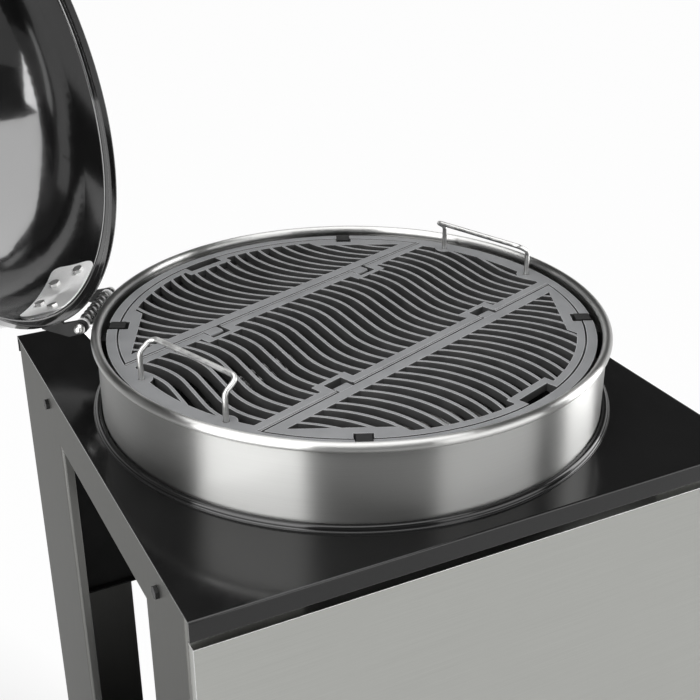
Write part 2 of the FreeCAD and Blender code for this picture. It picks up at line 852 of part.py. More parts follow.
def make_lid_bracket():
    """A plate rolled to the lid's wall with two arms that reach round the rim to the rod."""
    thick, eye = d.hinge_ear_thickness, d.hinge_ear_radius
    inner = lid_radius + d.seat_gap / 10
    outer = inner + d.bracket_sheet
    high = lid_plate_low + lid_plate_height
    plate = curved_plate("lid_plate", inner, outer, d.bracket_spread, lid_plate_low, lid_plate_height)
    root_x = lid_radius - thick
    arm = [
        corner(root_x, lid_plate_low),
        corner(lid_skirt_outer + d.lid_ear_gap, lid_plate_low),
        corner(hinge_reach - eye, hinge_level),
        corner(hinge_reach + eye, hinge_level),
        corner(hinge_reach + eye, lid_plate_low),
        corner(outer + eye, high),
        corner(root_x, high),
    ]
    bore = d.hinge_rod_radius + d.running_clearance
    arms = []
    for index, low_y in enumerate((-lid_ear_y - thick, lid_ear_y)):
        arms.append(ear(f"lid_ear_{index}", low_y, thick, arm, bore))
    inside = rod("lid_bracket_clear", inner, d.table_height * 2, (0, 0, 0))
    on_lid(cut("lid_bracket", fuse("lid_bracket_blank", [plate, *arms]), [inside]), "lid_bracket")


def inside_lid(inset, side, rise):
    """A spot on the lid's inner face, square to it: along the rod by side, above the rim by rise."""
    shoulder = (d.lid_shoulder_radius - inset).value
    tilt = math.asin(max((rise - d.lid_straight).value, 0) / shoulder)
    reach = (lid_radius - d.lid_shoulder_radius).value + shoulder * math.cos(tilt)
    turn = math.asin(side.value / reach)
    level = math.cos(tilt)
    inward = Vector(-math.cos(turn) * level, -math.sin(turn) * level, -math.sin(tilt))
    point = Vector(reach * math.cos(turn), side.value, (lid_seat + rise).value)
    return Placement(point, Rotation(Z_AXIS, inward))


def make_backing_plate():
    """A plate pressed to the lid's inner curve behind the bracket, with four nuts."""
    gap = d.lid_wall + d.seat_gap / 10
    shoulder = d.lid_shoulder_radius - gap
    shape = (lid_radius - gap, lid_seat, d.lid_straight, shoulder, d.lid_shoulder_angle, 1)
    shell = body("backing_turned")
    revolve(shell, "backing_dome", dome_shell(*shape, d.lid_wall))
    half = d.backing_width / 2
    shift = d.backing_shift
    plan = rounded_rectangle(
        shift - half, lid_plate_low, shift + half, lid_plate_low + d.backing_height, d.backing_corner
    )
    block = body("backing_plan")
    pad(block, "backing_pad", "YZ_Plane", [plan], lid_radius)
    on_lid(common("lid_backing_plate", [shell, block]), "lid_backing_plate")
    inset = gap + d.lid_wall + d.seat_gap * 2 / 3
    rows = ((d.lower_nut_spacing, d.lower_nut_rise), (d.upper_nut_spacing, d.upper_nut_rise))
    nuts = []
    for spacing, rise in rows:
        for side in (-1, 1):
            nut = hexagon(f"lid_nut_{len(nuts)}", d.bolt_head_radius, d.bolt_head_height, (0, 0, 0))
            nuts.append(set_down(nut, inside_lid(inset, shift + spacing / 2 * side, rise)))
    on_lid(group("lid_hinge_nuts", nuts), "lid_hinge_nuts")


def quarter_helix(radius, pitch, quarter):
    """Point and direction of a helix along +Y at a whole number of quarter turns."""
    angle = math.pi / 2 * quarter
    point = Vector(radius * math.cos(angle), pitch * quarter / 4, radius * math.sin(angle))
    along = Vector(-radius * math.sin(angle), pitch / (2 * math.pi), radius * math.cos(angle))
    return point, along.normalize()


def tangent_arc(start, corner_point, end):
    """The arc that leaves start towards a corner and arrives at end from it."""
    middle = (start + end) * 0.5
    axis = middle - corner_point
    leg = (start - corner_point).Length
    half_angle = math.acos(min(1, axis.Length / leg))
    summit = corner_point + axis.normalize() * (leg / math.cos(half_angle) - leg * math.tan(half_angle))
    return Part.Arc(start, summit, end).toShape()


def biarc(start, start_way, end, end_way):
    """Two arcs that join two points with given directions."""
    gap = end - start
    both = start_way + end_way
    spread = 2 * (1 - start_way.dot(end_way))
    lean = gap.dot(both)
    reach = (-lean + math.sqrt(lean ** 2 + spread * gap.dot(gap))) / spread
    first = start + start_way * reach
    second = end - end_way * reach
    joint = (first + second) * 0.5
    return [tangent_arc(start, first, joint), tangent_arc(joint, second, end)]


def make_spring():
    """The lid's coil spring round the hinge rod, one unbroken wire with straight ends."""
    wire_radius = d.spring_wire_radius.value
    mean = d.spring_mean_radius.value
    turns = int(d.spring_turns.value)
    inside = (d.hinge_half_width - d.hinge_ear_thickness * 3 / 2).value
    length = 2 * (inside - wire_radius - 4 * d.seat_gap.value)
    pitch = length / turns
    knots = [quarter_helix(mean, pitch, quarter) for quarter in range(4 * turns + 1)]
    first, first_way = knots[0]
    last, last_way = knots[-1]
    edges = [Part.LineSegment(first - first_way * (2 * wire_radius), first).toShape()]
    for (start, start_way), (end, end_way) in zip(knots, knots[1:]):
        edges.extend(biarc(start, start_way, end, end_way))
    edges.append(Part.LineSegment(last, last + last_way * (2 * wire_radius)).toShape())
    path = Part.Wire(edges)
    section = Part.Wire(Part.Circle(edges[0].Vertexes[0].Point, first_way, wire_radius).toShape())
    coil = path.makePipeShell([section], True, False)
    points = [point for edge in edges for point in edge.discretize(SPRING_SAMPLES)]
    apart = SPRING_SAMPLES * SPRING_ARCS_APART
    gaps = [
        (here - there).Length - 2 * wire_radius
        for index, here in enumerate(points)
        for there in points[index + apart:]
    ]
    print("spring: least gap to itself", round(min(gaps), 2), "mm, length", round(length, 1), "mm")
    spring = doc.addObject("Part::Feature", "hinge_spring")
    spring.Shape = coil
    start_y = -length / 2
    spot = Placement(Vector(hinge_reach.value, start_y, hinge_level.value), Rotation())
    spring.Placement = Placement(Vector(), Rotation(Z_AXIS, d.hinge_angle.value)).multiply(spot)
    node(spring, "hinge_spring")


# Cooking grate, drawn flat about the kettle's axis with its centre band along X
def prism(points, low, high):
    """An upright block on a closed outline of straight edges."""
    corners = [Vector(x, y, low) for x, y in points]
    wire = Part.makePolygon([*corners, corners[0]])
    return Part.Face(wire).extrude(Vector(0, 0, high - low))


def slab(low_x, low_y, high_x, high_y, low, high):
    return prism([(low_x, low_y), (high_x, low_y), (high_x, high_y), (low_x, high_y)], low, high)


def strip_slab(middle_x, half_x, one_y, other_y, low, high):
    """A block about a middle line, between two sides given in either order."""
    sides = sorted((one_y, other_y))
    return slab(middle_x - half_x, sides[0], middle_x + half_x, sides[1], low, high)


def disc(radius, low, high, x=0, y=0):
    return Part.makeCylinder(radius, high - low, Vector(x, y, low))


def circle_point(centre, radius, angle):
    return centre + Vector(radius * math.cos(angle), radius * math.sin(angle), 0)


def wave_edges(shift, half_height, level):
    """One side of a wavy slot: two arcs joined by a straight middle, from the top end to the bottom end."""
    bend = d.wave_bend_radius.value
    upper = Vector(d.wave_amplitude.value - bend, d.wave_reach.value, 0)
    reach = math.sqrt(upper.Length ** 2 - bend ** 2)
    lean = math.atan2(upper.y, upper.x) - math.asin(bend / upper.Length)
    touch = Vector(reach * math.cos(lean), reach * math.sin(lean), 0)
    end_angle = math.asin((half_height - upper.y) / bend)
    touch_angle = math.atan2(touch.y - upper.y, touch.x - upper.x)
    at = Vector(shift, 0, level)
    middle_angle = (end_angle + touch_angle) / 2
    summit = [circle_point(upper, bend, angle) for angle in (end_angle, middle_angle, touch_angle)]
    arc = Part.Arc(*[at + point for point in summit]).toShape()
    middle = Part.LineSegment(at + touch, at - touch).toShape()
    mirrored = Part.Arc(*[at - point for point in reversed(summit)]).toShape()
    return [arc, middle, mirrored], at + summit[0], at - summit[0]


def wavy_slot(left, right, half_height, low, high):
    first, first_top, first_end = wave_edges(left, half_height, low)
    second, second_top, second_end = wave_edges(right, half_height, low)
    pairs = ((first_top, second_top), (first_end, second_end))
    ends = [Part.LineSegment(*pair).toShape() for pair in pairs]
    wire = Part.Wire(Part.__sortEdges__([*first, *second, *ends]))
    return Part.Face(wire).extrude(Vector(0, 0, high - low))


def curved_slot(left, right, low_y, high_y, low, high):
    """A slot between two equal arcs that bulge to the left."""
    bend = d.flap_bend_radius.value
    level_y = d.flap_bend_centre.value
    sides = []
    for shift in (left, right):
        centre = Vector(shift + bend, level_y, low)
        ends = [math.pi - math.asin((y - level_y) / bend) for y in (low_y, high_y)]
        angles = (ends[0], sum(ends) / 2, ends[1])
        sides.append([circle_point(centre, bend, angle) for angle in angles])
    edges = [Part.Arc(*side).toShape() for side in sides]
    edges.extend(Part.LineSegment(sides[0][end], sides[1][end]).toShape() for end in (0, 2))
    return Part.Face(Part.Wire(Part.__sortEdges__(edges))).extrude(Vector(0, 0, high - low))


def slot_lefts():
    """Left sides of the slots, measured at the middle of the wave."""
    pitch = d.bar_pitch.value
    count = int(d.bars_each_side.value)
    first = d.bar_width.value / 2 - pitch
    return [index * pitch + first for index in range(-count, count + 2)]


def cut_slots(blank, window, slots):
    """Takes out the slots where the window allows them, without slivers."""
    openings = []
    least = d.bar_width.value ** 2 * d.grate_depth.value
    for slot in slots:
        clipped = slot.common(window)
        openings.extend(piece for piece in clipped.Solids if piece.Volume > least)
    return blank.cut(openings)


def grate_levels():
    high = grate_top.value
    return high, high - d.grate_depth.value, high - d.flap_depth.value


def clip_angles():
    count = int(d.clip_count.value)
    return [FULL / count * (index + 1 / 2) for index in range(count)]


def clip_block(width, inner, outer, low, high, angle):
    block = slab(inner, -width / 2, outer, width / 2, low, high)
    block.rotate(Vector(), Z_AXIS, angle)
    return block


def tab_spots():
    return [side * d.tab_offset.value for side in (-1, 1)]


def handle_feet():
    return [
        (x * d.handle_offset.value, y * d.handle_half_span.value)
        for x in (-1, 1)
        for y in (-1, 1)
    ]


def make_grate_frame():
    """Outer ring and wavy centre band, cast in one, with pockets for the flaps' tabs."""
    high, low, flap_low = grate_levels()
    outer = d.grate_radius.value
    inner = outer - d.ring_width.value
    band = d.band_half_width.value
    disc_blank = disc(outer, low, high)
    ledge = disc(inner - d.flap_gap.value - d.ledge_width.value, low, high)
    seat = disc(inner, flap_low - d.seat_gap.value, high)
    ring = disc_blank.cut([ledge, seat])
    strip = slab(-outer, -band, outer, band, low, high).common(disc_blank)
    frame = ring.fuse(strip)
    slot_end = band - d.rail_width.value
    window = disc(inner - d.slot_margin.value, low, high)
    pads = []
    pocket_depth = d.pocket_wall.value / 2 + d.tab_reach.value + d.tab_radius.value
    for x in tab_spots():
        half = d.pocket_width.value / 2 + d.pocket_wall.value
        for side in (-1, 1):
            near = side * (band - pocket_depth - d.pocket_wall.value / 2)
            pads.append(strip_slab(x, half, near, side * band, low, high))
    for spot in handle_feet():
        pads.append(disc(d.handle_nut_radius.value * 2, low, high, *spot))
    window = window.cut(pads)
    pitch = d.bar_pitch.value
    width = pitch - d.bar_width.value
    slots = [wavy_slot(left, left + width, slot_end, low, high) for left in slot_lefts()]
    frame = cut_slots(frame, window, slots)
    removed = []
    for x in tab_spots():
        half = d.pocket_width.value / 2
        for side in (-1, 1):
            near = side * (band - pocket_depth)
            edge = side * (band + d.flap_gap.value)
            floor = low + d.pocket_floor.value
            removed.append(strip_slab(x, half, near, edge, floor, high))
    notch_width = d.clip_width.value + d.notch_gap.value
    notch_start = inner - d.flap_gap.value - d.ledge_width.value
    notch_end = outer + d.notch_gap.value
    notch_floor = high - d.notch_depth.value
    for angle in clip_angles():
        removed.append(clip_block(notch_width, notch_start, notch_end, notch_floor, high, angle))
    hole = d.handle_rod_radius.value + d.handle_hole_gap.value
    for spot in handle_feet():
        removed.append(disc(hole, low, high, *spot))
    finger = d.finger_width.value / 2
    for near, far in ((band, inner), (-inner, -band)):
        reach_under = slab(-finger, near, finger, far, low, high).common(disc(inner, low, high))
        removed.append(reach_under)
    frame = frame.cut(removed)
    ridge = d.seam_ridge.value
    reach = math.sqrt(inner ** 2 - band ** 2)
    ridges = []
    for side in (-1, 1):
        edge = side * (band - d.seam_ridge_inset.value)
        back = edge - side * ridge
        bar = strip_slab(0, reach, edge, back, high, high + d.seam_ridge_height.value)
        half = d.pocket_width.value / 2
        gaps = [strip_slab(x, half, -outer, outer, high, high + ridge) for x in tab_spots()]
        ridges.append(bar.cut(gaps))
    frame = frame.fuse(ridges).removeSplitter()
    piece = doc.addObject("Part::Feature", "grate_frame")
    piece.Shape = frame
    node(turned_about_kettle(piece, d.grate_turn), "grate_frame")


def make_grate_flaps():
    """Two half-moon flaps, one the other turned round, with curved bars, finger notches and hinge tabs."""
    high, _, low = grate_levels()
    radius = d.grate_radius.value - d.ring_width.value - d.flap_gap.value
    edge = d.band_half_width.value + d.flap_gap.value
    blank = disc(radius, low, high).common(slab(-radius, edge, radius, radius, low, high))
    finger = d.finger_width.value / 2
    finger_bottom = radius - d.finger_depth.value
    margin = d.slot_margin.value
    window = disc(radius - margin, low, high).common(
        slab(-radius, edge + d.rail_width.value, radius, radius, low, high)
    )
    window = window.cut(slab(-finger - margin, finger_bottom - margin, finger + margin, radius, low, high))
    chord = d.pad_chord.value
    for side in (-1, 1):
        corner_pad = slab(chord, -radius, radius, radius, low, high)
        corner_pad.rotate(Vector(), Z_AXIS, QUARTER - side * QUARTER / 2)
        limit = slab(side * d.pad_start.value, 0, side * radius, radius, low, high)
        window = window.cut(corner_pad.common(limit))
    width = d.bar_pitch.value - d.bar_width.value
    bend, centre = d.flap_bend_radius.value, d.flap_bend_centre.value
    shift = bend - math.sqrt(bend ** 2 - (edge - centre) ** 2)
    first = slot_lefts()[0] - d.bar_pitch.value - shift
    lefts = [first + index * d.bar_pitch.value for index in range(int(d.flap_slot_count.value))]
    slots = [curved_slot(left, left + width, edge, radius, low, high) for left in lefts]
    flap = cut_slots(blank, window, slots)
    removed = [slab(-finger, finger_bottom, finger, radius + margin, low, high)]
    notch = d.clip_width.value + 2 * d.notch_gap.value
    notch_start = radius - d.clip_length.value / 2 - d.notch_gap.value
    for angle in (QUARTER / 2, QUARTER * 3 / 2):
        removed.append(clip_block(notch, notch_start, radius + margin, low, high, angle))
    flap = flap.cut(removed)
    axis_y = d.band_half_width.value + d.flap_gap.value - d.tab_reach.value
    axis_z = low + d.tab_radius.value - d.pocket_floor.value / 3
    for x in tab_spots():
        half = d.tab_width.value / 2
        neck = strip_slab(x, half, axis_y, edge + margin / 2, low, axis_z + d.tab_radius.value)
        eye_at = Vector(x - half, axis_y, axis_z)
        eye = Part.makeCylinder(d.tab_radius.value, d.tab_width.value, eye_at, X_AXIS)
        flap = flap.fuse([neck, eye])
    flap = flap.removeSplitter()
    for label, turn in (("grate_flap_back", 0), ("grate_flap_front", HALF)):
        piece = doc.addObject("Part::Feature", label)
        piece.Shape = flap
        node(turned_about_kettle(piece, d.grate_turn + turn), label)
    print("flap hinge axis: offset", round(axis_y, 3), "level", round(axis_z, 3))


def make_grate_clips():
    """Black locating clips seated in the ring's notches."""
    high, _, _ = grate_levels()
    outer = d.grate_radius.value
    inner = outer - d.ring_width.value
    start = inner - d.clip_length.value / 2
    end = outer - d.notch_gap.value
    floor = high - d.notch_depth.value
    top = high + d.clip_proud.value
    clips = [clip_block(d.clip_width.value, start, end, floor, top, angle) for angle in clip_angles()]
    piece = doc.addObject("Part::Feature", "grate_clips")
    piece.Shape = Part.Compound(clips)
    node(turned_about_kettle(piece, d.grate_turn), "grate_clips")


def bent_path(points, radius):
    """Straight runs joined by tangent arcs of one radius."""
    edges = []
    start = points[0]
    for before, here, after in zip(points, points[1:], points[2:]):
        back = (before - here).normalize()
        on = (after - here).normalize()
        half_angle = back.getAngle(on) / 2
        reach = radius / math.tan(half_angle)
        enter, leave = here + back * reach, here + on * reach
        edges.append(Part.LineSegment(start, enter).toShape())
        edges.append(tangent_arc(enter, here, leave))
        start = leave
    edges.append(Part.LineSegment(start, points[-1]).toShape())
    return Part.Wire(edges)


def make_grate_handles():
    """Two bent wire handles that stand in the band's ends, leaning inwards, with nuts below."""
    high, low, _ = grate_levels()
    x = d.handle_offset.value
    y = d.handle_half_span.value
    radius = d.handle_rod_radius.value
    foot = low - d.handle_nut_height.value
    bend = high + d.handle_leg.value
    top = high + d.handle_rise.value
    inside = x - d.handle_lean.value
    route = [
        Vector(x, -y, foot), Vector(x, -y, bend), Vector(inside, -y, top),
        Vector(inside, y, top), Vector(x, y, bend), Vector(x, y, foot),
    ]
    path = bent_path(route, d.handle_bend_radius.value)
    section = Part.Wire(Part.Circle(route[0], Z_AXIS, radius).toShape())
    wire = path.makePipeShell([section], True, False)
    nuts = []
    for side in (-1, 1):
        middle = Vector(x, side * y, 0)
        angles = [2 * math.pi * index / HEXAGON for index in range(HEXAGON)]
        points = [circle_point(middle, d.handle_nut_radius.value, angle) for angle in angles]
        nuts.append(prism([(point.x, point.y) for point in points], foot, low))
    shape = wire.fuse(nuts).removeSplitter()
    for label, turn in (("grate_handle_right", 0), ("grate_handle_left", HALF)):
        piece = doc.addObject("Part::Feature", label)
        piece.Shape = shape
        node(turned_about_kettle(piece, d.grate_turn + turn), label)


def make_grate_supports():
    """Four angle brackets welded inside the collar, under the ring's notches."""
    half = d.support_width / 2
    wall = collar_inner - d.seat_gap / 10
    shelf_top = grate_under - d.seat_gap
    low = shelf_top - d.support_height
    end = (wall, half, shelf_top)
    post = box("support_post", (wall - d.support_sheet * 2, -half, low), end)
    shelf = box("support_shelf", (wall - d.support_reach, -half, shelf_top - d.support_sheet), end)
    limit = rod("support_limit", wall, d.support_height, (0, 0, low))
    bracket = common("support_bracket", [fuse("support_blank", [post, shelf]), limit])
    copies = around("support", bracket, int(d.clip_count.value), d.grate_turn.value + clip_angles()[0])
    return node(group("grate_supports", copies), "grate_supports")


def make_charcoal_grate():
    """A flat-bar grate that rests where the bowl narrows to its size."""
    level = bowl_start - d.coal_grate_drop
    high = level + d.coal_grate_depth
    wall = d.bowl_wall
    shoulder = d.bowl_shoulder_radius - wall
    drop = d.coal_grate_drop - d.bowl_straight
    reach = root(shoulder * shoulder - drop * drop)
    seat = d.bowl_radius - d.bowl_shoulder_radius + reach - d.seat_gap * 2
    ring = tube("coal_ring", seat, seat - d.coal_ring_width, d.coal_grate_depth, level)
    bars = []
    count = int(d.coal_bar_count.value)
    limit = rod("coal_limit", seat - d.coal_ring_width / 2, d.coal_grate_depth, (0, 0, level))
    half = d.coal_bar_width / 2
    for index in range(count):
        x = (index - (count - 1) / 2) * d.coal_bar_pitch
        bars.append(box(f"coal_bar_{index}", (x - half, -seat, level), (x + half, seat, high)))
    cross = box("coal_cross", (-seat, -half, level), (seat, half, level + d.coal_grate_depth / 2))
    inside = common("coal_inside", [fuse("coal_bars", [*bars, cross]), limit])
    node(fuse("charcoal_grate", [ring, inside]), "charcoal_grate")


def make_ash_sweeper():
    """Three blades dished to the bowl's floor, on a hub; a shaft and side lever below; the lever's knob."""
    grown = d.bowl_wall + d.blade_gap
    shape = (
        d.bowl_radius - grown, bowl_start, d.bowl_straight,
        d.bowl_shoulder_radius - grown, d.bowl_shoulder_angle, -1,
    )
    shell = body("blade_turned")
    revolve(shell, "blade_dome", dome_shell(*shape, d.blade_sheet))
    low = bowl_pole - d.sweeper_hub_height
    high = bowl_pole + d.bowl_shoulder_radius / 2
    half = d.blade_width / 2
    block = box("blade_block", (0, -half, low), (d.blade_outer_radius, half, high))
    tip = rod("blade_tip", half, high - low, (d.blade_outer_radius, 0, low))
    plan = fuse("blade_plan", [block, tip])
    blades = around("blade", plan, int(d.vent_count.value), HALF / int(d.vent_count.value))
    dished = common("blades_dished", [shell, fuse("blades_plan", blades)])
    hub = rod("sweeper_hub", d.sweeper_hub_radius, d.sweeper_hub_height, (0, 0, bowl_floor + d.blade_gap))
    bore_low = low - d.sweeper_hub_height
    shaft = rod("sweeper_bore", d.sweeper_shaft_radius, d.bowl_shoulder_radius, (0, 0, bore_low))
    node(cut("ash_sweeper", fuse("sweeper_blank", [dished, hub]), [shaft]), "ash_sweeper")

    lever_high = bowl_pole - d.sweeper_shaft_drop / 2
    lever_low = lever_high - d.lever_sheet
    spindle_length = bowl_floor + d.sweeper_hub_height - lever_low
    spindle = rod("sweeper_spindle", d.sweeper_shaft_radius, spindle_length, (0, 0, lever_low))
    arm_half = d.lever_width / 2
    arm = box("lever_arm", (-d.lever_length, -arm_half, lever_low), (0, arm_half, lever_high))
    boss = rod("lever_boss", d.sweeper_hub_radius, d.lever_sheet, (0, 0, lever_low))
    node(fuse("sweeper_lever", [spindle, arm, boss]), "sweeper_lever")
    knob_x = -d.lever_length - d.knob_length / 2
    knob_z = (lever_low + lever_high) / 2
    knob = rod("knob_grip", d.knob_radius, d.knob_length, (knob_x, 0, knob_z), X_AXIS)
    slot = box("knob_slot", (-d.lever_length, -arm_half, lever_low), (0, arm_half, lever_high))
    node(cut("lever_knob", knob, [slot]), "lever_knob")


def make_ash_pan():
    """A dish hung by its flange on three hooks; twisted until its notches meet the hooks, it drops."""
    flange_top = bowl_pole - d.pan_drop
    flange_low = flange_top - d.pan_wall
    floor = flange_top - d.pan_depth
    radius, wall = d.pan_radius, d.pan_wall
    base = radius - d.pan_draft
    dish = body("pan_turned")
    revolve(dish, "pan_dish", [
        corner(0, floor), corner(base, floor), corner(radius, flange_low),
        corner(radius + d.pan_flange, flange_low), corner(radius + d.pan_flange, flange_top),
        corner(radius - wall, flange_top), corner(base - wall, floor + wall), corner(0, floor + wall),
    ])
    half = d.hook_width / 2 + d.hook_notch_gap
    notch_end = (radius + d.pan_flange * 2, half, flange_top + wall)
    notch = box("pan_notch", (radius + wall, -half, floor), notch_end)
    count = int(d.hook_count.value)
    notches = around("pan_notch_at", notch, count, HALF / count)
    node(cut("ash_pan", dish, notches), "ash_pan")

    strap = radius + d.pan_flange + d.hook_sheet
    half = d.hook_width / 2
    lip_top = flange_low - d.seat_gap
    lip_low = lip_top - d.hook_sheet
    outside = strap + d.hook_sheet
    post = box("hook_post", (strap, -half, lip_low), (outside, half, bowl_start))
    lip = box("hook_lip", (strap - d.hook_lip, -half, lip_low), (outside, half, lip_top))
    limit = body("hook_limit")
    profile = dome(*bowl_shape)
    corners = [corner(x, y, arc, -1) for x, y, arc in profile]
    revolve(limit, "hook_limit_dome", [*corners, corner(0, bowl_start)])
    hook = cut("pan_hook", fuse("hook_blank", [post, lip]), [limit])
    return node(group("ash_pan_hooks", around("hook", hook, count)), "ash_pan_hooks")


# Cart: two folded side panels, front and back panels, a shelf and their bolts
side_outer = half_width - d.side_sheet / 2
back_edge = half_depth - d.table_sheet
front_edge = -half_depth + d.panel_fold + d.table_sheet


def leg_profile(side, edge, way, width):
    """Section of a folded leg: corner flange, rounded fold, side face, inner return."""
    sheet_wall, fold = d.side_sheet, d.fold_radius
    face = side_outer * side
    inner = (side_outer - sheet_wall) * side
    flange_x = (side_outer - d.corner_flange) * side
    return_x = (side_outer - d.leg_return) * side
    far = edge - width * way
    turn = side * way
    return [
        corner(flange_x, edge),
        corner(face - fold * side, edge, fold, -turn),
        corner(face, edge - fold * way),
        corner(face, far + fold * way, fold, -turn),
        corner(face - fold * side, far),
        corner(return_x, far),
        corner(return_x, far + sheet_wall * way),
        corner(face - fold * side, far + sheet_wall * way, fold - sheet_wall, turn),
        corner(inner, far + fold * way),
        corner(inner, edge - fold * way, fold - sheet_wall, turn),
        corner(face - fold * side, edge - sheet_wall * way),
        corner(flange_x, edge - sheet_wall * way),
    ]


def make_side_panel(label, side):
    """One folded sheet: two legs joined by an apron under the worktop."""
    panel = body(f"{label}_folded")
    height = table_under - d.leg_bottom
    back_leg = leg_profile(side, back_edge, 1, d.back_leg_width)
    front_leg = leg_profile(side, front_edge, -1, d.front_leg_width)
    pad(panel, f"{label}_back_leg", "XY_Plane", [back_leg], height, d.leg_bottom)
    pad(panel, f"{label}_front_leg", "XY_Plane", [front_leg], height, d.leg_bottom)
    face, inner = side_outer * side, (side_outer - d.side_sheet) * side
    low_y, high_y = front_edge + d.fold_radius, back_edge - d.fold_radius
    apron = rectangle(face, low_y, inner, high_y)
    apron_low = table_top - d.apron_height
    pad(panel, f"{label}_apron", "XY_Plane", [apron], d.apron_height - d.table_sheet, apron_low)
    holes = []
    start_x = (side_outer - d.side_sheet * 2) * side
    bore = d.bolt_radius + d.seat_gap
    for index, y in enumerate(bolt_rows()):
        start = (start_x, y, table_top - d.bolt_drop)
        holes.append(rod(f"{label}_hole_{index}", bore, d.side_sheet * 4, start, X_AXIS * side))
    return node(cut(label, panel, holes), label)


def bolt_rows():
    front = front_edge + d.front_leg_width - d.bolt_inset
    back = back_edge - d.back_leg_width + d.bolt_inset
    return [front, back]


def make_side_bolts():
    """Bolts that hold the side panels to angle cleats under the worktop."""
    bolts = []
    cleats = []
    for side in (-1, 1):
        for index, y in enumerate(bolt_rows()):
            name = f"{side}_{index}"
            bolts.append(side_bolt(name, side, y))
            cleats.append(cleat(name, side, y))
    node(group("side_bolts", bolts), "side_bolts")
    node(group("top_cleats", cleats), "top_cleats")


def side_bolt(name, side, y):
    level = table_top - d.bolt_drop
    way = X_AXIS * -side
    head_at = ((side_outer + d.bolt_head_height) * side, y, level)
    head = hexagon(f"bolt_head_{name}", d.bolt_head_radius, d.bolt_head_height, head_at, way)
    shank_at = (side_outer * side, y, level)
    shank = rod(f"bolt_shank_{name}", d.bolt_radius, d.bolt_inset / 2, shank_at, way)
    return fuse(f"side_bolt_{name}", [head, shank])


def cleat(name, side, y):
    """An angle piece in the corner between a side panel and the worktop."""
    level = table_top - d.bolt_drop
    inner = (side_outer - d.side_sheet) * side
    sheet_x = inner - d.side_sheet * side
    reach_x = inner - d.bolt_inset / 2 * side
    low_y, high_y = y - d.bolt_inset / 2, y + d.bolt_inset / 2
    low_z = level - d.bolt_inset / 2
    wall_low = (min_of(inner, sheet_x), low_y, low_z)
    wall_high = (max_of(inner, sheet_x), high_y, table_under)
    wall = box(f"cleat_wall_{name}", wall_low, wall_high)
    shelf_low = (min_of(inner, reach_x), low_y, table_under - d.side_sheet)
    shelf_high = (max_of(inner, reach_x), high_y, table_under)
    shelf = box(f"cleat_shelf_{name}", shelf_low, shelf_high)
    start = (side_outer * side, y, level)
    bore = rod(f"cleat_bore_{name}", d.bolt_radius, d.bolt_inset, start, X_AXIS * -side)
    return cut(f"cleat_{name}", fuse(f"cleat_blank_{name}", [wall, shelf]), [bore])


def min_of(a, b):
    return a if a.value < b.value else b


def max_of(a, b):
    return a if a.value > b.value else b


def make_panel(label, face_y, way, high):
    """A shallow folded pan: face sheet with returns on all four edges, open to the back."""
    half = side_outer - d.panel_sheet if way < 0 else side_outer - d.fold_radius - d.seat_gap
    back_y = face_y - d.panel_fold * way
    low_y, high_y = min_of(face_y, back_y), max_of(face_y, back_y)
    outer = box(f"{label}_outer", (-half, low_y, d.panel_bottom), (half, high_y, high))
    wall = d.panel_sheet
    inner_low = low_y + wall if way < 0 else low_y
    inner_high = high_y if way < 0 else high_y - wall
    hollow_low = (-half + wall, inner_low, d.panel_bottom + wall)
    hollow_high = (half - wall, inner_high, high - wall)
    hollow = box(f"{label}_hollow", hollow_low, hollow_high)
    return node(cut(label, outer, [hollow]), label)


def make_shelf():
    """A tray between the legs near the floor."""
    half_x = side_outer - d.leg_return - d.shelf_side_gap
    low_y, high_y = front_edge + d.side_sheet, back_edge - d.side_sheet
    low, high = d.shelf_level, d.shelf_level + d.shelf_lip
    wall = d.shelf_sheet
    outer = box("shelf_outer", (-half_x, low_y, low), (half_x, high_y, high))
    hollow_low = (-half_x + wall, low_y + wall, low + wall)
    hollow = box("shelf_hollow", hollow_low, (half_x - wall, high_y - wall, high))
    node(cut("bottom_shelf", outer, [hollow]), "bottom_shelf")
    bolts = []
    level = low + d.shelf_lip / 2
    for side in (-1, 1):
        x = (side_outer - d.corner_flange / 2) * side
        for name, face_y, way in (("front", front_edge, 1), ("back", back_edge, -1)):
            spot = (x, face_y - d.bolt_head_height * way, level)
            label = f"shelf_head_{name}_{side}"
            bolts.append(hexagon(label, d.bolt_head_radius, d.bolt_head_height, spot, Y_AXIS * way))
    node(group("shelf_bolts", bolts), "shelf_bolts")


# Casters: fixed plates with kingpins, turning forks, axles and wheels
def caster_spots():
    x = half_width - d.caster_inset_x
    y = half_depth - d.caster_inset_y
    return {
        "front_left": (-x, -y), "front_right": (x, -y),
        "back_left": (-x, y), "back_right": (x, y),
    }


def make_casters():
    plate_low = d.shelf_level - d.caster_plate_sheet
    crown_high = plate_low - d.seat_gap
    crown_low = crown_high - d.fork_crown_height
    plates = []
    for name, (x, y) in caster_spots().items():
        half = d.caster_plate / 2
        plate_high = (x + half, y + half, d.shelf_level)
        plate = box(f"plate_{name}", (x - half, y - half, plate_low), plate_high)
        pin_low = crown_low - d.seat_gap
        pin = rod(f"kingpin_{name}", d.kingpin_radius, plate_low - pin_low, (x, y, pin_low))
        head_at = (x, y, pin_low - d.kingpin_head_height)
        head = rod(f"kingpin_head_{name}", d.kingpin_head_radius, d.kingpin_head_height, head_at)
        plates.append(fuse(f"caster_top_{name}", [plate, pin, head]))
    node(group("caster_plates", plates), "caster_plates")
    for name, (x, y) in caster_spots().items():
        make_caster(name, x, y, crown_low, crown_high)


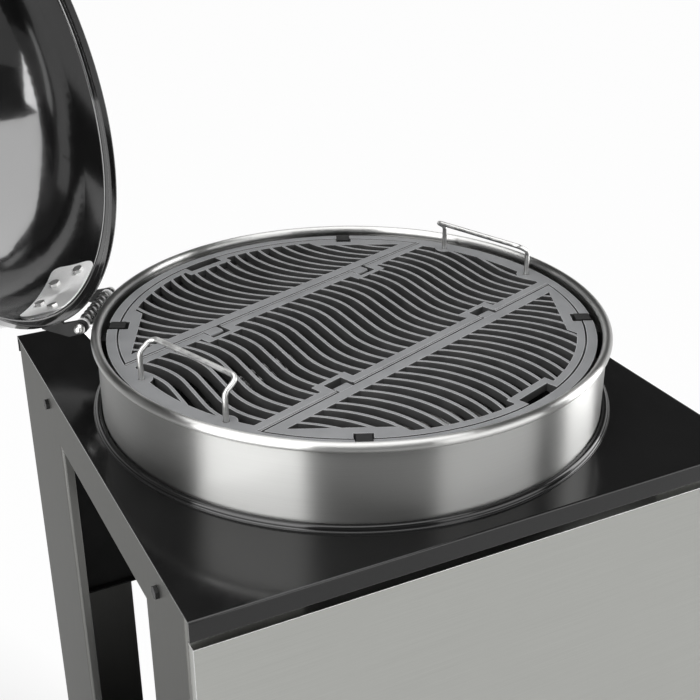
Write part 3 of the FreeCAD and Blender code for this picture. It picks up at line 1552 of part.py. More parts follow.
def make_caster(name, x, y, crown_low, crown_high):
    axle_x = x + d.caster_trail
    cheek_in = d.wheel_width / 2 + d.fork_gap
    cheek_out = cheek_in + d.fork_sheet
    make_fork(name, x, y, crown_low, crown_high)
    axle_at = (axle_x, y - cheek_out, d.wheel_radius)
    shaft = rod(f"axle_shaft_{name}", d.wheel_axle_radius, cheek_out * 2, axle_at, Y_AXIS)
    heads = []
    for index, side in enumerate((-1, 1)):
        spot = (axle_x, y + cheek_out * side, d.wheel_radius)
        label = f"axle_head_{name}_{index}"
        heads.append(hexagon(label, d.bolt_head_radius, d.bolt_head_height, spot, Y_AXIS * side))
    node(fuse(f"caster_axle_{name}", [shaft, *heads]), f"caster_axle_{name}")
    make_wheel(name, axle_x, y)


def make_fork(name, x, y, crown_low, crown_high):
    """A round crown with two cheeks that slant back to the axle."""
    axle_x = x + d.caster_trail
    axle_z = d.wheel_radius
    cheek_in = d.wheel_width / 2 + d.fork_gap
    cheek_out = cheek_in + d.fork_sheet
    reach, boss = d.fork_cheek_reach, d.fork_boss_radius
    parts = [rod(f"crown_{name}", d.fork_crown_radius, d.fork_crown_height, (x, y, crown_low))]
    side_view = [
        corner(x - reach, crown_high),
        corner(axle_x - boss, axle_z),
        corner(axle_x + boss, axle_z),
        corner(x + reach, crown_high),
    ]
    for index, low_y in enumerate((y - cheek_out, y + cheek_in)):
        cheek = body(f"cheek_{name}_{index}")
        cheek_pad = f"cheek_pad_{name}_{index}"
        pad(cheek, cheek_pad, "XZ_Plane", [side_view], d.fork_sheet, -(low_y + d.fork_sheet))
        parts.append(cheek)
        parts.append(rod(f"cheek_boss_{name}_{index}", boss, d.fork_sheet, (axle_x, low_y, axle_z), Y_AXIS))
    bore_radius = d.kingpin_radius + d.running_clearance
    bore = rod(f"crown_bore_{name}", bore_radius, d.fork_crown_height, (x, y, crown_low))
    axle_at = (axle_x, y - cheek_out, axle_z)
    axle_bore = rod(f"fork_bore_{name}", d.wheel_axle_radius, cheek_out * 2, axle_at, Y_AXIS)
    blank = fuse(f"fork_blank_{name}", parts)
    node(cut(f"caster_fork_{name}", blank, [bore, axle_bore]), f"caster_fork_{name}")


def make_wheel(name, axle_x, y):
    """A wheel with a dished disc between its hub and its tread."""
    wheel = body(f"wheel_turned_{name}")
    radius, half = d.wheel_radius, d.wheel_width / 2
    hub, rim = d.fork_boss_radius, d.wheel_rim_radius
    bore_radius = d.wheel_axle_radius + d.running_clearance
    dish = half / 2
    ease = half / 3
    near_side = [
        (bore_radius, half), (hub, half), (hub + dish / 2, dish), (rim - dish / 2, dish),
        (rim, half), (radius - ease, half), (radius, half - ease),
    ]
    lower = [corner(x, -z) for x, z in near_side]
    upper = [corner(x, z) for x, z in reversed(near_side)]
    revolve(wheel, f"wheel_section_{name}", [*lower, *upper])
    upright = Placement(Vector(axle_x.value, y.value, d.wheel_radius.value), Rotation(Z_AXIS, Y_AXIS))
    wheel.Placement = upright
    for path, amount in zip(BASE_PATHS, (axle_x, y, d.wheel_radius)):
        bind(wheel, path, amount)
    node(wheel, f"caster_wheel_{name}")


def make_collar_bolts():
    """Bolts through the collar's foot, the bowl's flange and the worktop."""
    reach = d.bowl_flange_radius - d.collar_flange / 2
    top = bowl_flange_top + d.collar_wall
    head = hexagon("collar_bolt_head", d.bolt_radius, d.bolt_head_height, (reach, 0, top))
    heads = around("collar_bolt", head, int(d.collar_bolt_count.value), QUARTER / 3)
    return node(group("collar_bolts", heads), "collar_bolts")


make_worktop()
make_collar()
make_bowl()
make_collar_bolts()
make_grate_supports()
make_collar_bracket()
make_hinge_rod()
make_spring()
make_lid_bracket()
make_backing_plate()
make_lid_shell()
make_lid_damper()
make_lid_handle()
make_lid_gauge()
make_grate_frame()
make_grate_flaps()
make_grate_clips()
make_grate_handles()
make_charcoal_grate()
make_ash_sweeper()
make_ash_pan()
make_side_panel("side_panel_left", -1)
make_side_panel("side_panel_right", 1)
make_side_bolts()
make_panel("front_panel", -half_depth + d.table_sheet, -1, table_top - d.skirt_height - d.shadow_gap)
make_panel("back_panel", back_edge - d.side_sheet, 1, table_under)
make_shelf()
make_casters()

doc.recompute()
faults = []
for item in doc.Objects:
    if "Invalid" in item.State or "Error" in item.State:
        faults.append(f"{item.Name}: {item.State}")
for item in nodes:
    if item.Shape.isNull() or not item.Shape.isValid():
        faults.append(f"{item.Label}: bad shape")
if faults:
    raise RuntimeError("; ".join(faults))
for item in nodes:
    item.Shape.exportStep(f"parts/{item.Label}.step")
print(len(nodes), "sub-parts written")
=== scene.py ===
import math

import bmesh
import bpy
from mathutils import Matrix, Vector


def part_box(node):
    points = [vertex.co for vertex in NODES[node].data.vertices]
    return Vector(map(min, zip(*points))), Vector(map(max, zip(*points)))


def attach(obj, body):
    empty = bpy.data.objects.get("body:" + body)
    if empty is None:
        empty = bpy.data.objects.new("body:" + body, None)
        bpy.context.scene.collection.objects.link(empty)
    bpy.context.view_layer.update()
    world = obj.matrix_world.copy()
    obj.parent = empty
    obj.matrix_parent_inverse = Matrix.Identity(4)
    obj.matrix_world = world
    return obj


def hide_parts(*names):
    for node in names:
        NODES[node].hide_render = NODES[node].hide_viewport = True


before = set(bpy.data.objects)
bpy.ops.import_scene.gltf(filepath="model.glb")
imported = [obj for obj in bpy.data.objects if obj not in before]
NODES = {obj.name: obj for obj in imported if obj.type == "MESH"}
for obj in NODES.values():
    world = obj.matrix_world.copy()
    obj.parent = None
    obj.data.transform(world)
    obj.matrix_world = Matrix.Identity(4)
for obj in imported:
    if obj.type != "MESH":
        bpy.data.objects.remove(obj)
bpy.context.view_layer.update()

# The photograph's camera, from a fit to the rim, the grate and the worktop's edges
IMAGE_PIXELS = 700
CAMERA_PLACE = Vector((-0.5665, -1.1087, 1.4775))
CAMERA_YAW = math.radians(26.973)
CAMERA_PITCH = math.radians(26.243)
CAMERA_FOCAL_PIXELS = 1183.7
CAMERA_CLIP_START = 0.05
SENSOR_MM = 36.0

# The hinge, the open lid and the coil spring, in metres as in the CAD
HINGE_ANGLE = math.radians(144.5)
HINGE_REACH = 0.310
HINGE_LEVEL = 0.8945
LID_OPEN_ANGLE = math.radians(108.4)
SPRING_LENGTH = 0.0742
SPRING_MEAN_RADIUS = 0.0066
SPRING_WIRE_RADIUS = 0.0022
SPRING_TURNS = 7
SPRING_STEPS_PER_TURN = 28
SPRING_WIRE_SIDES = 14

# The collar's rim and the worktop's bead as in the CAD, with a thin skin over the bead
RIM_FOOT = 0.8995
RIM_BLEND = 0.0005
TABLE_TOP = 0.815
BEAD_INNER_RADIUS = 0.292
BEAD_HEIGHT = 0.006
BEAD_ROLL = 0.0035
BEAD_SKIN = 0.0005
BEAD_STEPS = 12
BEAD_SIDES = 300

# The lid's thermometer: levels are measured from the middle of its CAD glass
GAUGE_LATITUDE = math.radians(48)
DIAL_RADIUS = 0.0288
DIAL_FLOOR = -0.00087
DIAL_CARD = -0.0004
DIAL_CARD_FLARE = 0.0003
DIAL_LENS_UNDER = 0.0011
DIAL_LENS_EDGE = 0.0016
DIAL_LENS_TOP = 0.0025
DIAL_LENS_STEPS = 8
DIAL_SIDES = 72
DIAL_START = math.radians(135)
DIAL_SWEEP = math.radians(270)
DIAL_TICKS = 41
DIAL_LONG_EVERY = 5
DIAL_LONG_TICK = 0.005
DIAL_SHORT_TICK = 0.0026
DIAL_TICK_WIDTH = 0.0006
DIAL_SCALE_RADIUS = 0.0265
DIAL_MARK_HEIGHT = 0.00015
DIAL_NEEDLE_LEVEL = 0.0003
DIAL_NEEDLE_TAIL = 0.006
DIAL_NEEDLE_REACH = 0.021
DIAL_NEEDLE_WIDTH = 0.0024
DIAL_NEEDLE_TAPER = 0.15

# Meshes made here: points nearer than this are one, and turns steeper than this stay sharp
MERGE_DISTANCE = 1e-7
SHARP_ANGLE = math.radians(40)

# Steels: one stainless, painted darker on the collar and the legs as painted shade, and lighter on the
# collar's rim and the backing plate as painted light
# The collar's wall steel, painted darker than the panels' stainless: painted shade
COLLAR_STEEL_PAINTED_SHADE = (0.34, 0.34, 0.333)
COLLAR_ROUGHNESS = 0.38
# The collar's rim steel, painted brighter than its wall: a painted highlight
RIM_STEEL_PAINTED_HIGHLIGHT = (0.5, 0.5, 0.49)
RIM_ROUGHNESS = 0.3
PANEL_STEEL = (0.49, 0.495, 0.471)
# The legs' stainless, painted darker: painted shade
LEG_STEEL_PAINTED_SHADE = (0.225, 0.225, 0.216)
# The backing plate's and bracket's stainless, painted lighter: painted light
PLATE_STEEL_PAINTED_LIGHT = (0.92, 0.92, 0.915)
# Brushed sheet's edges are painted brighter, a painted highlight, by this gain over this reach
PAINTED_EDGE_HIGHLIGHT_GAIN = 2.2
PAINTED_EDGE_HIGHLIGHT_REACH = 0.0014

# Node helpers: the part of a noise that is used, and what counts as a level face or an edge
NOISE_SPAN = (0.3, 0.7)
LEVEL_FACE_SPAN = (0.55, 0.8)
EDGE_SPAN = (0.78, 0.99)
BEVEL_SAMPLES = 6

# Studio
KETTLE_MIDDLE = (0, 0, 0.88)
FLOOR_RADIUS = 30.0
FLOOR_SIDES = 96
FLOOR_GREYS = (0.45, 0.49)
FLOOR_ROUGHNESS = 0.9
FLOOR_WHITE_SHARES = (0.22, 0.98)
FLOOR_WHITE_SPAN = (0.0, 0.65)
WALL_HEIGHT = 10.0
WORLD_STRENGTH = 0.06


def make_camera():
    forward = Vector((
        math.sin(CAMERA_YAW) * math.cos(CAMERA_PITCH),
        math.cos(CAMERA_YAW) * math.cos(CAMERA_PITCH),
        -math.sin(CAMERA_PITCH),
    ))
    data = bpy.data.cameras.new("camera")
    data.sensor_fit = "HORIZONTAL"
    data.sensor_width = SENSOR_MM
    data.lens = SENSOR_MM * CAMERA_FOCAL_PIXELS / IMAGE_PIXELS
    data.clip_start = CAMERA_CLIP_START
    camera = bpy.data.objects.new("camera", data)
    turn = forward.to_track_quat("-Z", "Y").to_matrix().to_4x4()
    camera.matrix_world = Matrix.Translation(CAMERA_PLACE) @ turn
    bpy.context.scene.collection.objects.link(camera)
    bpy.context.scene.camera = camera


class Shader:
    """A material's node tree with short ways to add to it."""

    def __init__(self, name):
        self.material = bpy.data.materials.new(name)
        self.material.use_nodes = True
        self.tree = self.material.node_tree
        self.surface = self.tree.nodes["Principled BSDF"]

    def add(self, kind, **settings):
        item = self.tree.nodes.new(kind)
        for key, value in settings.items():
            setattr(item, key, value)
        return item

    def link(self, source, target):
        self.tree.links.new(source, target)

    def feed(self, socket, source):
        self.link(source, self.surface.inputs[socket])

    def set(self, **values):
        for key, value in values.items():
            self.surface.inputs[key.replace("_", " ")].default_value = value

    def fill(self, socket, value):
        """Gives a socket another socket's value, three numbers as a colour, or one number."""
        if hasattr(value, "is_linked"):
            self.link(value, socket)
        else:
            socket.default_value = (*value, 1) if isinstance(value, tuple) else value

    def place(self):
        return self.add("ShaderNodeTexCoord").outputs["Object"]

    def place_parts(self):
        item = self.add("ShaderNodeSeparateXYZ")
        self.link(self.place(), item.inputs["Vector"])
        return item.outputs

    def stretched(self, scale):
        mapping = self.add("ShaderNodeMapping")
        mapping.inputs["Scale"].default_value = scale
        self.link(self.place(), mapping.inputs["Vector"])
        return mapping.outputs["Vector"]

    def round_the_kettle(self, turns, rise):
        """Coordinates that run round the kettle's axis and up it."""
        parts = self.place_parts()
        angle = self.math("ARCTAN2", parts["Y"], parts["X"])
        joined = self.add("ShaderNodeCombineXYZ")
        self.link(self.math("MULTIPLY", angle, turns), joined.inputs["X"])
        self.link(self.math("MULTIPLY", parts["Z"], rise), joined.inputs["Y"])
        return joined.outputs["Vector"]

    def noise(self, where, scale, detail=3.0, roughness=0.6):
        item = self.add("ShaderNodeTexNoise")
        item.inputs["Scale"].default_value = scale
        item.inputs["Detail"].default_value = detail
        item.inputs["Roughness"].default_value = roughness
        self.link(where, item.inputs["Vector"])
        return item.outputs["Fac"]

    def ramp(self, source, low, high):
        """A colour between low and high, led by a noise."""
        item = self.add("ShaderNodeValToRGB")
        for element, position, colour in zip(item.color_ramp.elements, NOISE_SPAN, (low, high)):
            element.position = position
            element.color = (*colour, 1)
        self.link(source, item.inputs["Fac"])
        return item.outputs["Color"]

    def span(self, source, low, high, start=NOISE_SPAN[0], end=NOISE_SPAN[1]):
        """A number from low to high while the source runs from start to end."""
        item = self.add("ShaderNodeMapRange")
        item.inputs["From Min"].default_value = start
        item.inputs["From Max"].default_value = end
        item.inputs["To Min"].default_value = low
        item.inputs["To Max"].default_value = high
        self.link(source, item.inputs["Value"])
        return item.outputs["Result"]

    def math(self, operation, first, second):
        item = self.add("ShaderNodeMath", operation=operation)
        for socket, value in zip(item.inputs, (first, second)):
            self.fill(socket, value)
        return item.outputs["Value"]

    def blend(self, factor, one, other):
        """A colour between two, each a socket or three numbers."""
        item = self.add("ShaderNodeMix", data_type="RGBA")
        self.link(factor, item.inputs["Factor"])
        colours = [socket for socket in item.inputs if socket.type == "RGBA"]
        self.fill(colours[0], one)
        self.fill(colours[1], other)
        return next(socket for socket in item.outputs if socket.type == "RGBA")

    def rounded_normal(self, radius):
        item = self.add("ShaderNodeBevel", samples=BEVEL_SAMPLES)
        item.inputs["Radius"].default_value = radius
        return item.outputs["Normal"]

    def bump(self, height, strength, distance, rounded):
        """Fine relief, over edges that are rounded by a radius."""
        item = self.add("ShaderNodeBump")
        item.inputs["Strength"].default_value = strength
        item.inputs["Distance"].default_value = distance
        self.link(height, item.inputs["Height"])
        self.link(self.rounded_normal(rounded), item.inputs["Normal"])
        self.feed("Normal", item.outputs["Normal"])

    def facing_up(self):
        """One on the piece's own level faces, nothing on its walls."""
        item = self.add("ShaderNodeSeparateXYZ")
        self.link(self.add("ShaderNodeTexCoord").outputs["Normal"], item.inputs["Vector"])
        return self.span(item.outputs["Z"], 0.0, 1.0, *LEVEL_FACE_SPAN)

    def edges(self, reach):
        """One along sharp edges, and nothing a short reach away from them."""
        item = self.add("ShaderNodeVectorMath", operation="DOT_PRODUCT")
        self.link(self.rounded_normal(reach), item.inputs[0])
        self.link(self.add("ShaderNodeNewGeometry").outputs["True Normal"], item.inputs[1])
        return self.span(item.outputs["Value"], 1.0, 0.0, *EDGE_SPAN)

    def background(self, front_share, back_share, start, end):
        """Mixes in plain white where the camera, metal or glass looks: little in front, most behind.

        start and end are cosines of the bearing from straight behind the object.
        """
        rays = self.add("ShaderNodeLightPath").outputs
        seen = self.math("MAXIMUM", rays["Is Camera Ray"], rays["Is Glossy Ray"])
        seen = self.math("MAXIMUM", seen, rays["Is Transmission Ray"])
        bearing = self.add("ShaderNodeVectorMath", operation="NORMALIZE")
        self.link(self.place(), bearing.inputs[0])
        behind = self.add("ShaderNodeVectorMath", operation="DOT_PRODUCT")
        self.link(bearing.outputs["Vector"], behind.inputs[0])
        behind.inputs[1].default_value = (math.sin(CAMERA_YAW), math.cos(CAMERA_YAW), 0)
        share = self.span(behind.outputs["Value"], front_share, back_share, start, end)
        white = self.add("ShaderNodeEmission")
        white.inputs["Strength"].default_value = 1.0
        mix = self.add("ShaderNodeMixShader")
        self.link(self.math("MULTIPLY", seen, share), mix.inputs[0])
        self.link(self.surface.outputs["BSDF"], mix.inputs[1])
        self.link(white.outputs["Emission"], mix.inputs[2])
        self.link(mix.outputs["Shader"], self.tree.nodes["Material Output"].inputs["Surface"])


# Finishes
def grey(level):
    return (level,) * 3


def shaded(colour, share):
    """A colour made darker or lighter by a share, up to white."""
    return tuple(min(1.0, part * share) for part in colour)


def enamel(name, index, coat):
    """Vitreous black enamel: deep gloss with a faint orange peel."""
    shader = Shader(name)
    where = shader.place()
    shader.feed("Base Color", shader.ramp(shader.noise(where, scale=6), grey(0.0045), grey(0.0065)))
    shader.feed("Roughness", shader.span(shader.noise(where, scale=40), 0.10, 0.16))
    peel = shader.noise(where, scale=160, detail=2)
    shader.bump(peel, strength=0.03, distance=0.0006, rounded=0.0012)
    shader.set(IOR=index, Coat_Weight=coat, Coat_Roughness=0.06, Coat_IOR=1.75)
    return shader.material


def brushed(name, colour, rough, streaks, edge=1.0, metal=1.0):
    """Brushed stainless sheet: fine streaks, edges painted bright as a painted highlight; edge is its
    tint at a glancing view.
    """
    shader = Shader(name)
    fine = shader.noise(shader.stretched(streaks), scale=1.0, detail=4, roughness=0.7)
    skin = shader.ramp(fine, shaded(colour, 0.95), shaded(colour, 1.05))
    # Edges painted brighter: a painted highlight
    painted_highlight = shaded(colour, PAINTED_EDGE_HIGHLIGHT_GAIN)
    shader.feed("Base Color", shader.blend(shader.edges(PAINTED_EDGE_HIGHLIGHT_REACH), skin, painted_highlight))
    shader.feed("Roughness", shader.span(fine, rough * 0.9, rough * 1.1))
    shader.bump(fine, strength=0.02, distance=0.0003, rounded=0.0008)
    shader.set(Metallic=metal, Anisotropic=0.6, Specular_Tint=(edge, edge, edge, 1))
    return shader.material


def collar_steel():
    """The rolled collar: brushed round its wall, whose steel is painted darker as painted shade, with its
    rim tube painted brighter as a painted highlight.
    """
    shader = Shader("brushed_round")
    streaks = shader.round_the_kettle(turns=1.2, rise=900)
    fine = shader.noise(streaks, scale=1.0, detail=4, roughness=0.7)
    wall = shader.ramp(fine, shaded(COLLAR_STEEL_PAINTED_SHADE, 0.97), shaded(COLLAR_STEEL_PAINTED_SHADE, 1.03))
    height = shader.place_parts()["Z"]
    rim = shader.span(height, 0.0, 1.0, start=RIM_FOOT - RIM_BLEND, end=RIM_FOOT + RIM_BLEND)
    # The wall's steel is painted darker (painted shade), the rim's brighter (painted highlight)
    shader.feed("Base Color", shader.blend(rim, wall, RIM_STEEL_PAINTED_HIGHLIGHT))
    shader.feed("Roughness", shader.span(rim, COLLAR_ROUGHNESS, RIM_ROUGHNESS, start=0.0, end=1.0))
    shader.set(Metallic=1.0, Anisotropic=1.0, Anisotropic_Rotation=0.25)
    tangent = shader.add("ShaderNodeTangent", direction_type="RADIAL", axis="Z")
    shader.feed("Tangent", tangent.outputs["Tangent"])
    return shader.material


def cast():
    """Grey coated casting: sandy skin, faint mottling, edges painted pale as a painted highlight, and
    walls painted darker as painted shade.
    """
    shader = Shader("cast_grate")
    where = shader.place()
    mottled = shader.noise(where, scale=35, detail=4)
    face = shader.ramp(mottled, low=(0.165, 0.168, 0.173), high=(0.2, 0.203, 0.208))
    # Edges painted pale: a painted highlight
    face = shader.blend(shader.edges(reach=0.002), face, (0.42, 0.42, 0.425))
    # Walls painted darker than the level faces: painted shade
    wall = shader.ramp(mottled, low=grey(0.035), high=grey(0.055))
    shader.feed("Base Color", shader.blend(shader.facing_up(), wall, face))
    shader.feed("Roughness", shader.span(mottled, 0.42, 0.56))
    sand = shader.noise(where, scale=1400, detail=2)
    shader.bump(sand, strength=0.25, distance=0.0004, rounded=0.0014)
    shader.set(Metallic=0.1)
    return shader.material


def bright_wire(name, low, high, rough):
    """Drawn bright wire or polished cap: smooth, with a faint cloud in its shine."""
    shader = Shader(name)
    drawn = shader.noise(shader.place(), scale=120)
    shader.feed("Base Color", shader.ramp(drawn, low, high))
    shader.feed("Roughness", shader.span(drawn, rough * 0.7, rough * 1.2))
    shader.set(Metallic=1.0)
    return shader.material


def powder_coat():
    """Black powder coat with a fine pebbled skin."""
    shader = Shader("black_powder_coat")
    where = shader.place()
    shader.feed("Base Color", shader.ramp(shader.noise(where, scale=12), grey(0.008), grey(0.016)))
    shader.feed("Roughness", shader.span(shader.noise(where, scale=90), 0.4, 0.55))
    pebbles = shader.noise(where, scale=1600, detail=2)
    shader.bump(pebbles, strength=0.12, distance=0.0003, rounded=0.0008)
    shader.set(Specular_IOR_Level=0.25)
    return shader.material


def plain_metal(name, low, high, rough):
    """Zinc, mill-finish steel, drawn aluminium or spring wire: cloudy, with a finely scratched skin."""
    shader = Shader(name)
    where = shader.place()
    cloud = shader.noise(where, scale=60, detail=4)
    shader.feed("Base Color", shader.ramp(cloud, low, high))
    shader.feed("Roughness", shader.span(cloud, rough * 0.8, rough * 1.2))
    scratches = shader.noise(where, scale=900, detail=2)
    shader.bump(scratches, strength=0.06, distance=0.0003, rounded=0.0006)
    shader.set(Metallic=1.0)
    return shader.material


def matt(name, low, high, rough):
    """Rubber, moulded plastic, printed ink or card."""
    shader = Shader(name)
    where = shader.place()
    shader.feed("Base Color", shader.ramp(shader.noise(where, scale=40), low, high))
    shader.feed("Roughness", shader.span(shader.noise(where, scale=120), rough * 0.85, rough * 1.1))
    grain = shader.noise(where, scale=900, detail=2)
    shader.bump(grain, strength=0.15, distance=0.0003, rounded=0.001)
    return shader.material


def glass():
    """Clear glass with a trace of green and of wear."""
    shader = Shader("dial_glass")
    where = shader.place()
    tint = shader.ramp(shader.noise(where, scale=20), low=(0.95, 0.96, 0.95), high=(0.99, 1.0, 0.99))
    shader.feed("Base Color", tint)
    shader.feed("Roughness", shader.span(shader.noise(where, scale=50), 0.0, 0.04))
    shader.set(Transmission_Weight=1.0, IOR=1.45)
    return shader.material


def coat_node(name, material):
    for slot in NODES[name].material_slots:
        slot.link = "OBJECT"
        slot.material = material


def dress_nodes():
    """Gives every CAD node its finish."""
    lid_black = enamel("lid_enamel", index=1.8, coat=1.0)
    top_black = enamel("worktop_enamel", index=1.5, coat=0.0)
    # The legs' steel is painted darker than the panels': painted shade
    leg_steel = brushed("brushed_upright", LEG_STEEL_PAINTED_SHADE, rough=0.34, streaks=(900, 900, 6), edge=0.45)
    panel_steel = brushed("brushed_level", PANEL_STEEL, rough=0.34, streaks=(6, 900, 900))
    # The plate's steel is painted lighter than the panels': painted light
    plate_steel = brushed("brushed_plate", PLATE_STEEL_PAINTED_LIGHT, rough=0.5, streaks=(500, 500, 30), metal=0.7)
    coat = powder_coat()
    zinc = plain_metal("zinc_plate", grey(0.5), (0.62, 0.62, 0.61), rough=0.3)
    mill = plain_metal("mill_steel", (0.3, 0.29, 0.28), (0.45, 0.44, 0.43), rough=0.45)
    aluminium = plain_metal("drawn_aluminium", grey(0.55), grey(0.66), rough=0.38)
    bright = bright_wire("bright_wire", (0.56, 0.56, 0.55), (0.65, 0.65, 0.64), rough=0.4)
    nut_steel = bright_wire("bright_nuts", (0.7, 0.7, 0.69), (0.8, 0.8, 0.79), rough=0.34)
    grip = matt("black_grip", grey(0.012), grey(0.022), rough=0.55)
    tread = matt("wheel_rubber", grey(0.02), (0.035, 0.035, 0.034), rough=0.7)
    finishes = {
        lid_black: ("bowl", "lid_shell"),
        top_black: ("worktop",),
        collar_steel(): ("collar",),
        leg_steel: ("side_panel_left", "side_panel_right"),
        panel_steel: ("front_panel", "lid_handle", "lid_handle_posts", "lid_gauge", "lid_damper"),
        plate_steel: ("lid_backing_plate", "hinge_bracket"),
        cast(): ("grate_frame", "grate_flap_front", "grate_flap_back"),
        bright: ("grate_handle_left", "grate_handle_right"),
        nut_steel: ("hinge_rod", "lid_hinge_nuts"),
        coat: ("back_panel", "grate_supports", "grate_clips", "lid_bracket", "bottom_shelf", "top_cleats",
               "ash_pan_hooks", "side_bolts"),
        zinc: ("collar_bolts", "shelf_bolts", "damper_rivet", "caster_plates"),
        mill: ("charcoal_grate", "ash_sweeper", "sweeper_lever"),
        aluminium: ("ash_pan",),
        grip: ("lever_knob",),
        glass(): ("gauge_glass",),
    }
    for material, names in finishes.items():
        for name in names:
            coat_node(name, material)
    for name in NODES:
        if name.startswith("caster_wheel"):
            coat_node(name, tread)
        elif name.startswith(("caster_fork", "caster_axle")):
            coat_node(name, zinc)


# Pieces made here
def new_piece(name, mesh, material, body):
    mesh.materials.append(material)
    for face in mesh.polygons:
        face.use_smooth = True
    mesh.set_sharp_from_angle(angle=SHARP_ANGLE)
    piece = bpy.data.objects.new(name, mesh)
    bpy.context.scene.collection.objects.link(piece)
    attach(piece, body)
    return piece


def take_mesh(form, name):
    """The mesh of a finished form, which is used up."""
    mesh = bpy.data.meshes.new(name)
    form.to_mesh(mesh)
    form.free()
    return mesh


def sweep(points, radius, sides):
    """A round wire along points, closed at both ends with a low cone."""
    form = bmesh.new()
    side = Vector((0, 0, 1))
    rings = []
    last = len(points) - 1
    for index, point in enumerate(points):
        along = (points[min(index + 1, last)] - points[max(index - 1, 0)]).normalized()
        side = (side - along * side.dot(along)).normalized()
        across = along.cross(side)
        ring = []
        for step in range(sides):
            angle = math.tau * step / sides
            outward = side * math.cos(angle) + across * math.sin(angle)
            ring.append(form.verts.new(point + outward * radius))
        rings.append(ring)
    for one, other in zip(rings, rings[1:]):
        for step in range(sides):
            after = (step + 1) % sides
            form.faces.new((one[step], one[after], other[after], other[step]))
    for ring, near, end in ((rings[0], points[1], points[0]), (rings[-1], points[-2], points[-1])):
        tip = form.verts.new(end + (end - near).normalized() * radius / 2)
        for step in range(sides):
            form.faces.new((ring[step], ring[(step + 1) % sides], tip))
    bmesh.ops.recalc_face_normals(form, faces=form.faces)
    return take_mesh(form, "wire")


def lathe(profile, sides):
    """A profile of (radius, level) turned round Z, with points that meet made one."""
    form = bmesh.new()
    rings = []
    for step in range(sides):
        angle = math.tau * step / sides
        rings.append([
            form.verts.new((radius * math.cos(angle), radius * math.sin(angle), level))
            for radius, level in profile
        ])
    for index, ring in enumerate(rings):
        after = rings[(index + 1) % sides]
        for low in range(len(profile) - 1):
            form.faces.new((ring[low], after[low], after[low + 1], ring[low + 1]))
    bmesh.ops.remove_doubles(form, verts=form.verts, dist=MERGE_DISTANCE)
    bmesh.ops.recalc_face_normals(form, faces=form.faces)
    return take_mesh(form, "turned")


def add_bar(form, lie, size, taper=1.0):
    """A low bar along X from lie's origin, narrowed to its far end."""
    length, width, height = size
    ends = []
    for x, half in ((0.0, width / 2), (length, width * taper / 2)):
        corners = ((-half, 0.0), (half, 0.0), (half, height), (-half, height))
        ends.append([form.verts.new(lie @ Vector((x, y, z))) for y, z in corners])
    near, far = ends
    form.faces.new(near)
    form.faces.new(far)
    for step in range(len(near)):
        after = (step + 1) % len(near)
        form.faces.new((near[step], near[after], far[after], far[step]))


def bars_mesh(bars):
    form = bmesh.new()
    for bar in bars:
        add_bar(form, *bar)
    bmesh.ops.recalc_face_normals(form, faces=form.faces)
    return take_mesh(form, "bars")


def make_spring():
    """The lid's coil spring, wound round the hinge's axis."""
    total = SPRING_TURNS * SPRING_STEPS_PER_TURN
    turn = Matrix.Rotation(HINGE_ANGLE, 4, "Z")
    points = []
    for step in range(total + 1):
        angle = math.tau * step / SPRING_STEPS_PER_TURN
        points.append(turn @ Vector((
            HINGE_REACH + SPRING_MEAN_RADIUS * math.cos(angle),
            SPRING_LENGTH * (step / total - 0.5),
            HINGE_LEVEL + SPRING_MEAN_RADIUS * math.sin(angle),
        )))
    mesh = sweep(points, SPRING_WIRE_RADIUS, SPRING_WIRE_SIDES)
    wire = plain_metal("spring_wire", grey(0.10), (0.2, 0.2, 0.195), rough=0.26)
    spring = new_piece("hinge_coil", mesh, wire, "cart")
    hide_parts("hinge_spring")


def make_bead(material):
    """The rolled bead that the worktop lifts round the collar, turned smooth over the CAD's facets."""
    inner = BEAD_INNER_RADIUS - BEAD_SKIN
    middle = BEAD_INNER_RADIUS + BEAD_ROLL
    cove = BEAD_HEIGHT - BEAD_ROLL
    foot = BEAD_INNER_RADIUS + 2 * BEAD_ROLL + cove
    crown = TABLE_TOP + BEAD_HEIGHT - BEAD_ROLL
    under = TABLE_TOP - BEAD_SKIN
    profile = [(inner, TABLE_TOP)]
    reach = BEAD_ROLL + BEAD_SKIN
    for step in range(BEAD_STEPS + 1):
        angle = math.pi * (1 - step / BEAD_STEPS)
        profile.append((middle + reach * math.cos(angle), crown + reach * math.sin(angle)))
    reach = cove - BEAD_SKIN
    for step in range(1, BEAD_STEPS + 1):
        angle = math.pi / 2 * step / BEAD_STEPS
        profile.append((foot - reach * math.cos(angle), crown - reach * math.sin(angle)))
    profile += [(foot, under), (inner, under), profile[0]]
    new_piece("worktop_bead", lathe(profile, BEAD_SIDES), material, "cart")


def gauge_frame():
    """The dial's place and lie on the open lid, with Z out of its face."""
    low, high = (Vector(corner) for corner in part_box("gauge_glass"))
    lean = Matrix.Rotation(GAUGE_LATITUDE - math.pi / 2, 4, "Y")
    swing = Matrix.Rotation(LID_OPEN_ANGLE, 4, "Y")
    turn = Matrix.Rotation(HINGE_ANGLE, 4, "Z")
    return Matrix.Translation((low + high) / 2) @ turn @ swing @ lean


def dial_card():
    foot = DIAL_RADIUS + DIAL_CARD_FLARE
    profile = [(0, DIAL_CARD), (DIAL_RADIUS, DIAL_CARD), (foot, DIAL_FLOOR), (0, DIAL_FLOOR)]
    return lathe(profile, DIAL_SIDES)


def dial_lens():
    """A shallow dome with a flat underside."""
    fall = (DIAL_LENS_TOP - DIAL_LENS_EDGE) / DIAL_LENS_STEPS ** 2
    profile = []
    for step in range(DIAL_LENS_STEPS + 1):
        profile.append((DIAL_RADIUS * step / DIAL_LENS_STEPS, DIAL_LENS_TOP - fall * step ** 2))
    profile += [(DIAL_RADIUS, DIAL_LENS_UNDER), (0, DIAL_LENS_UNDER)]
    return lathe(profile, DIAL_SIDES)


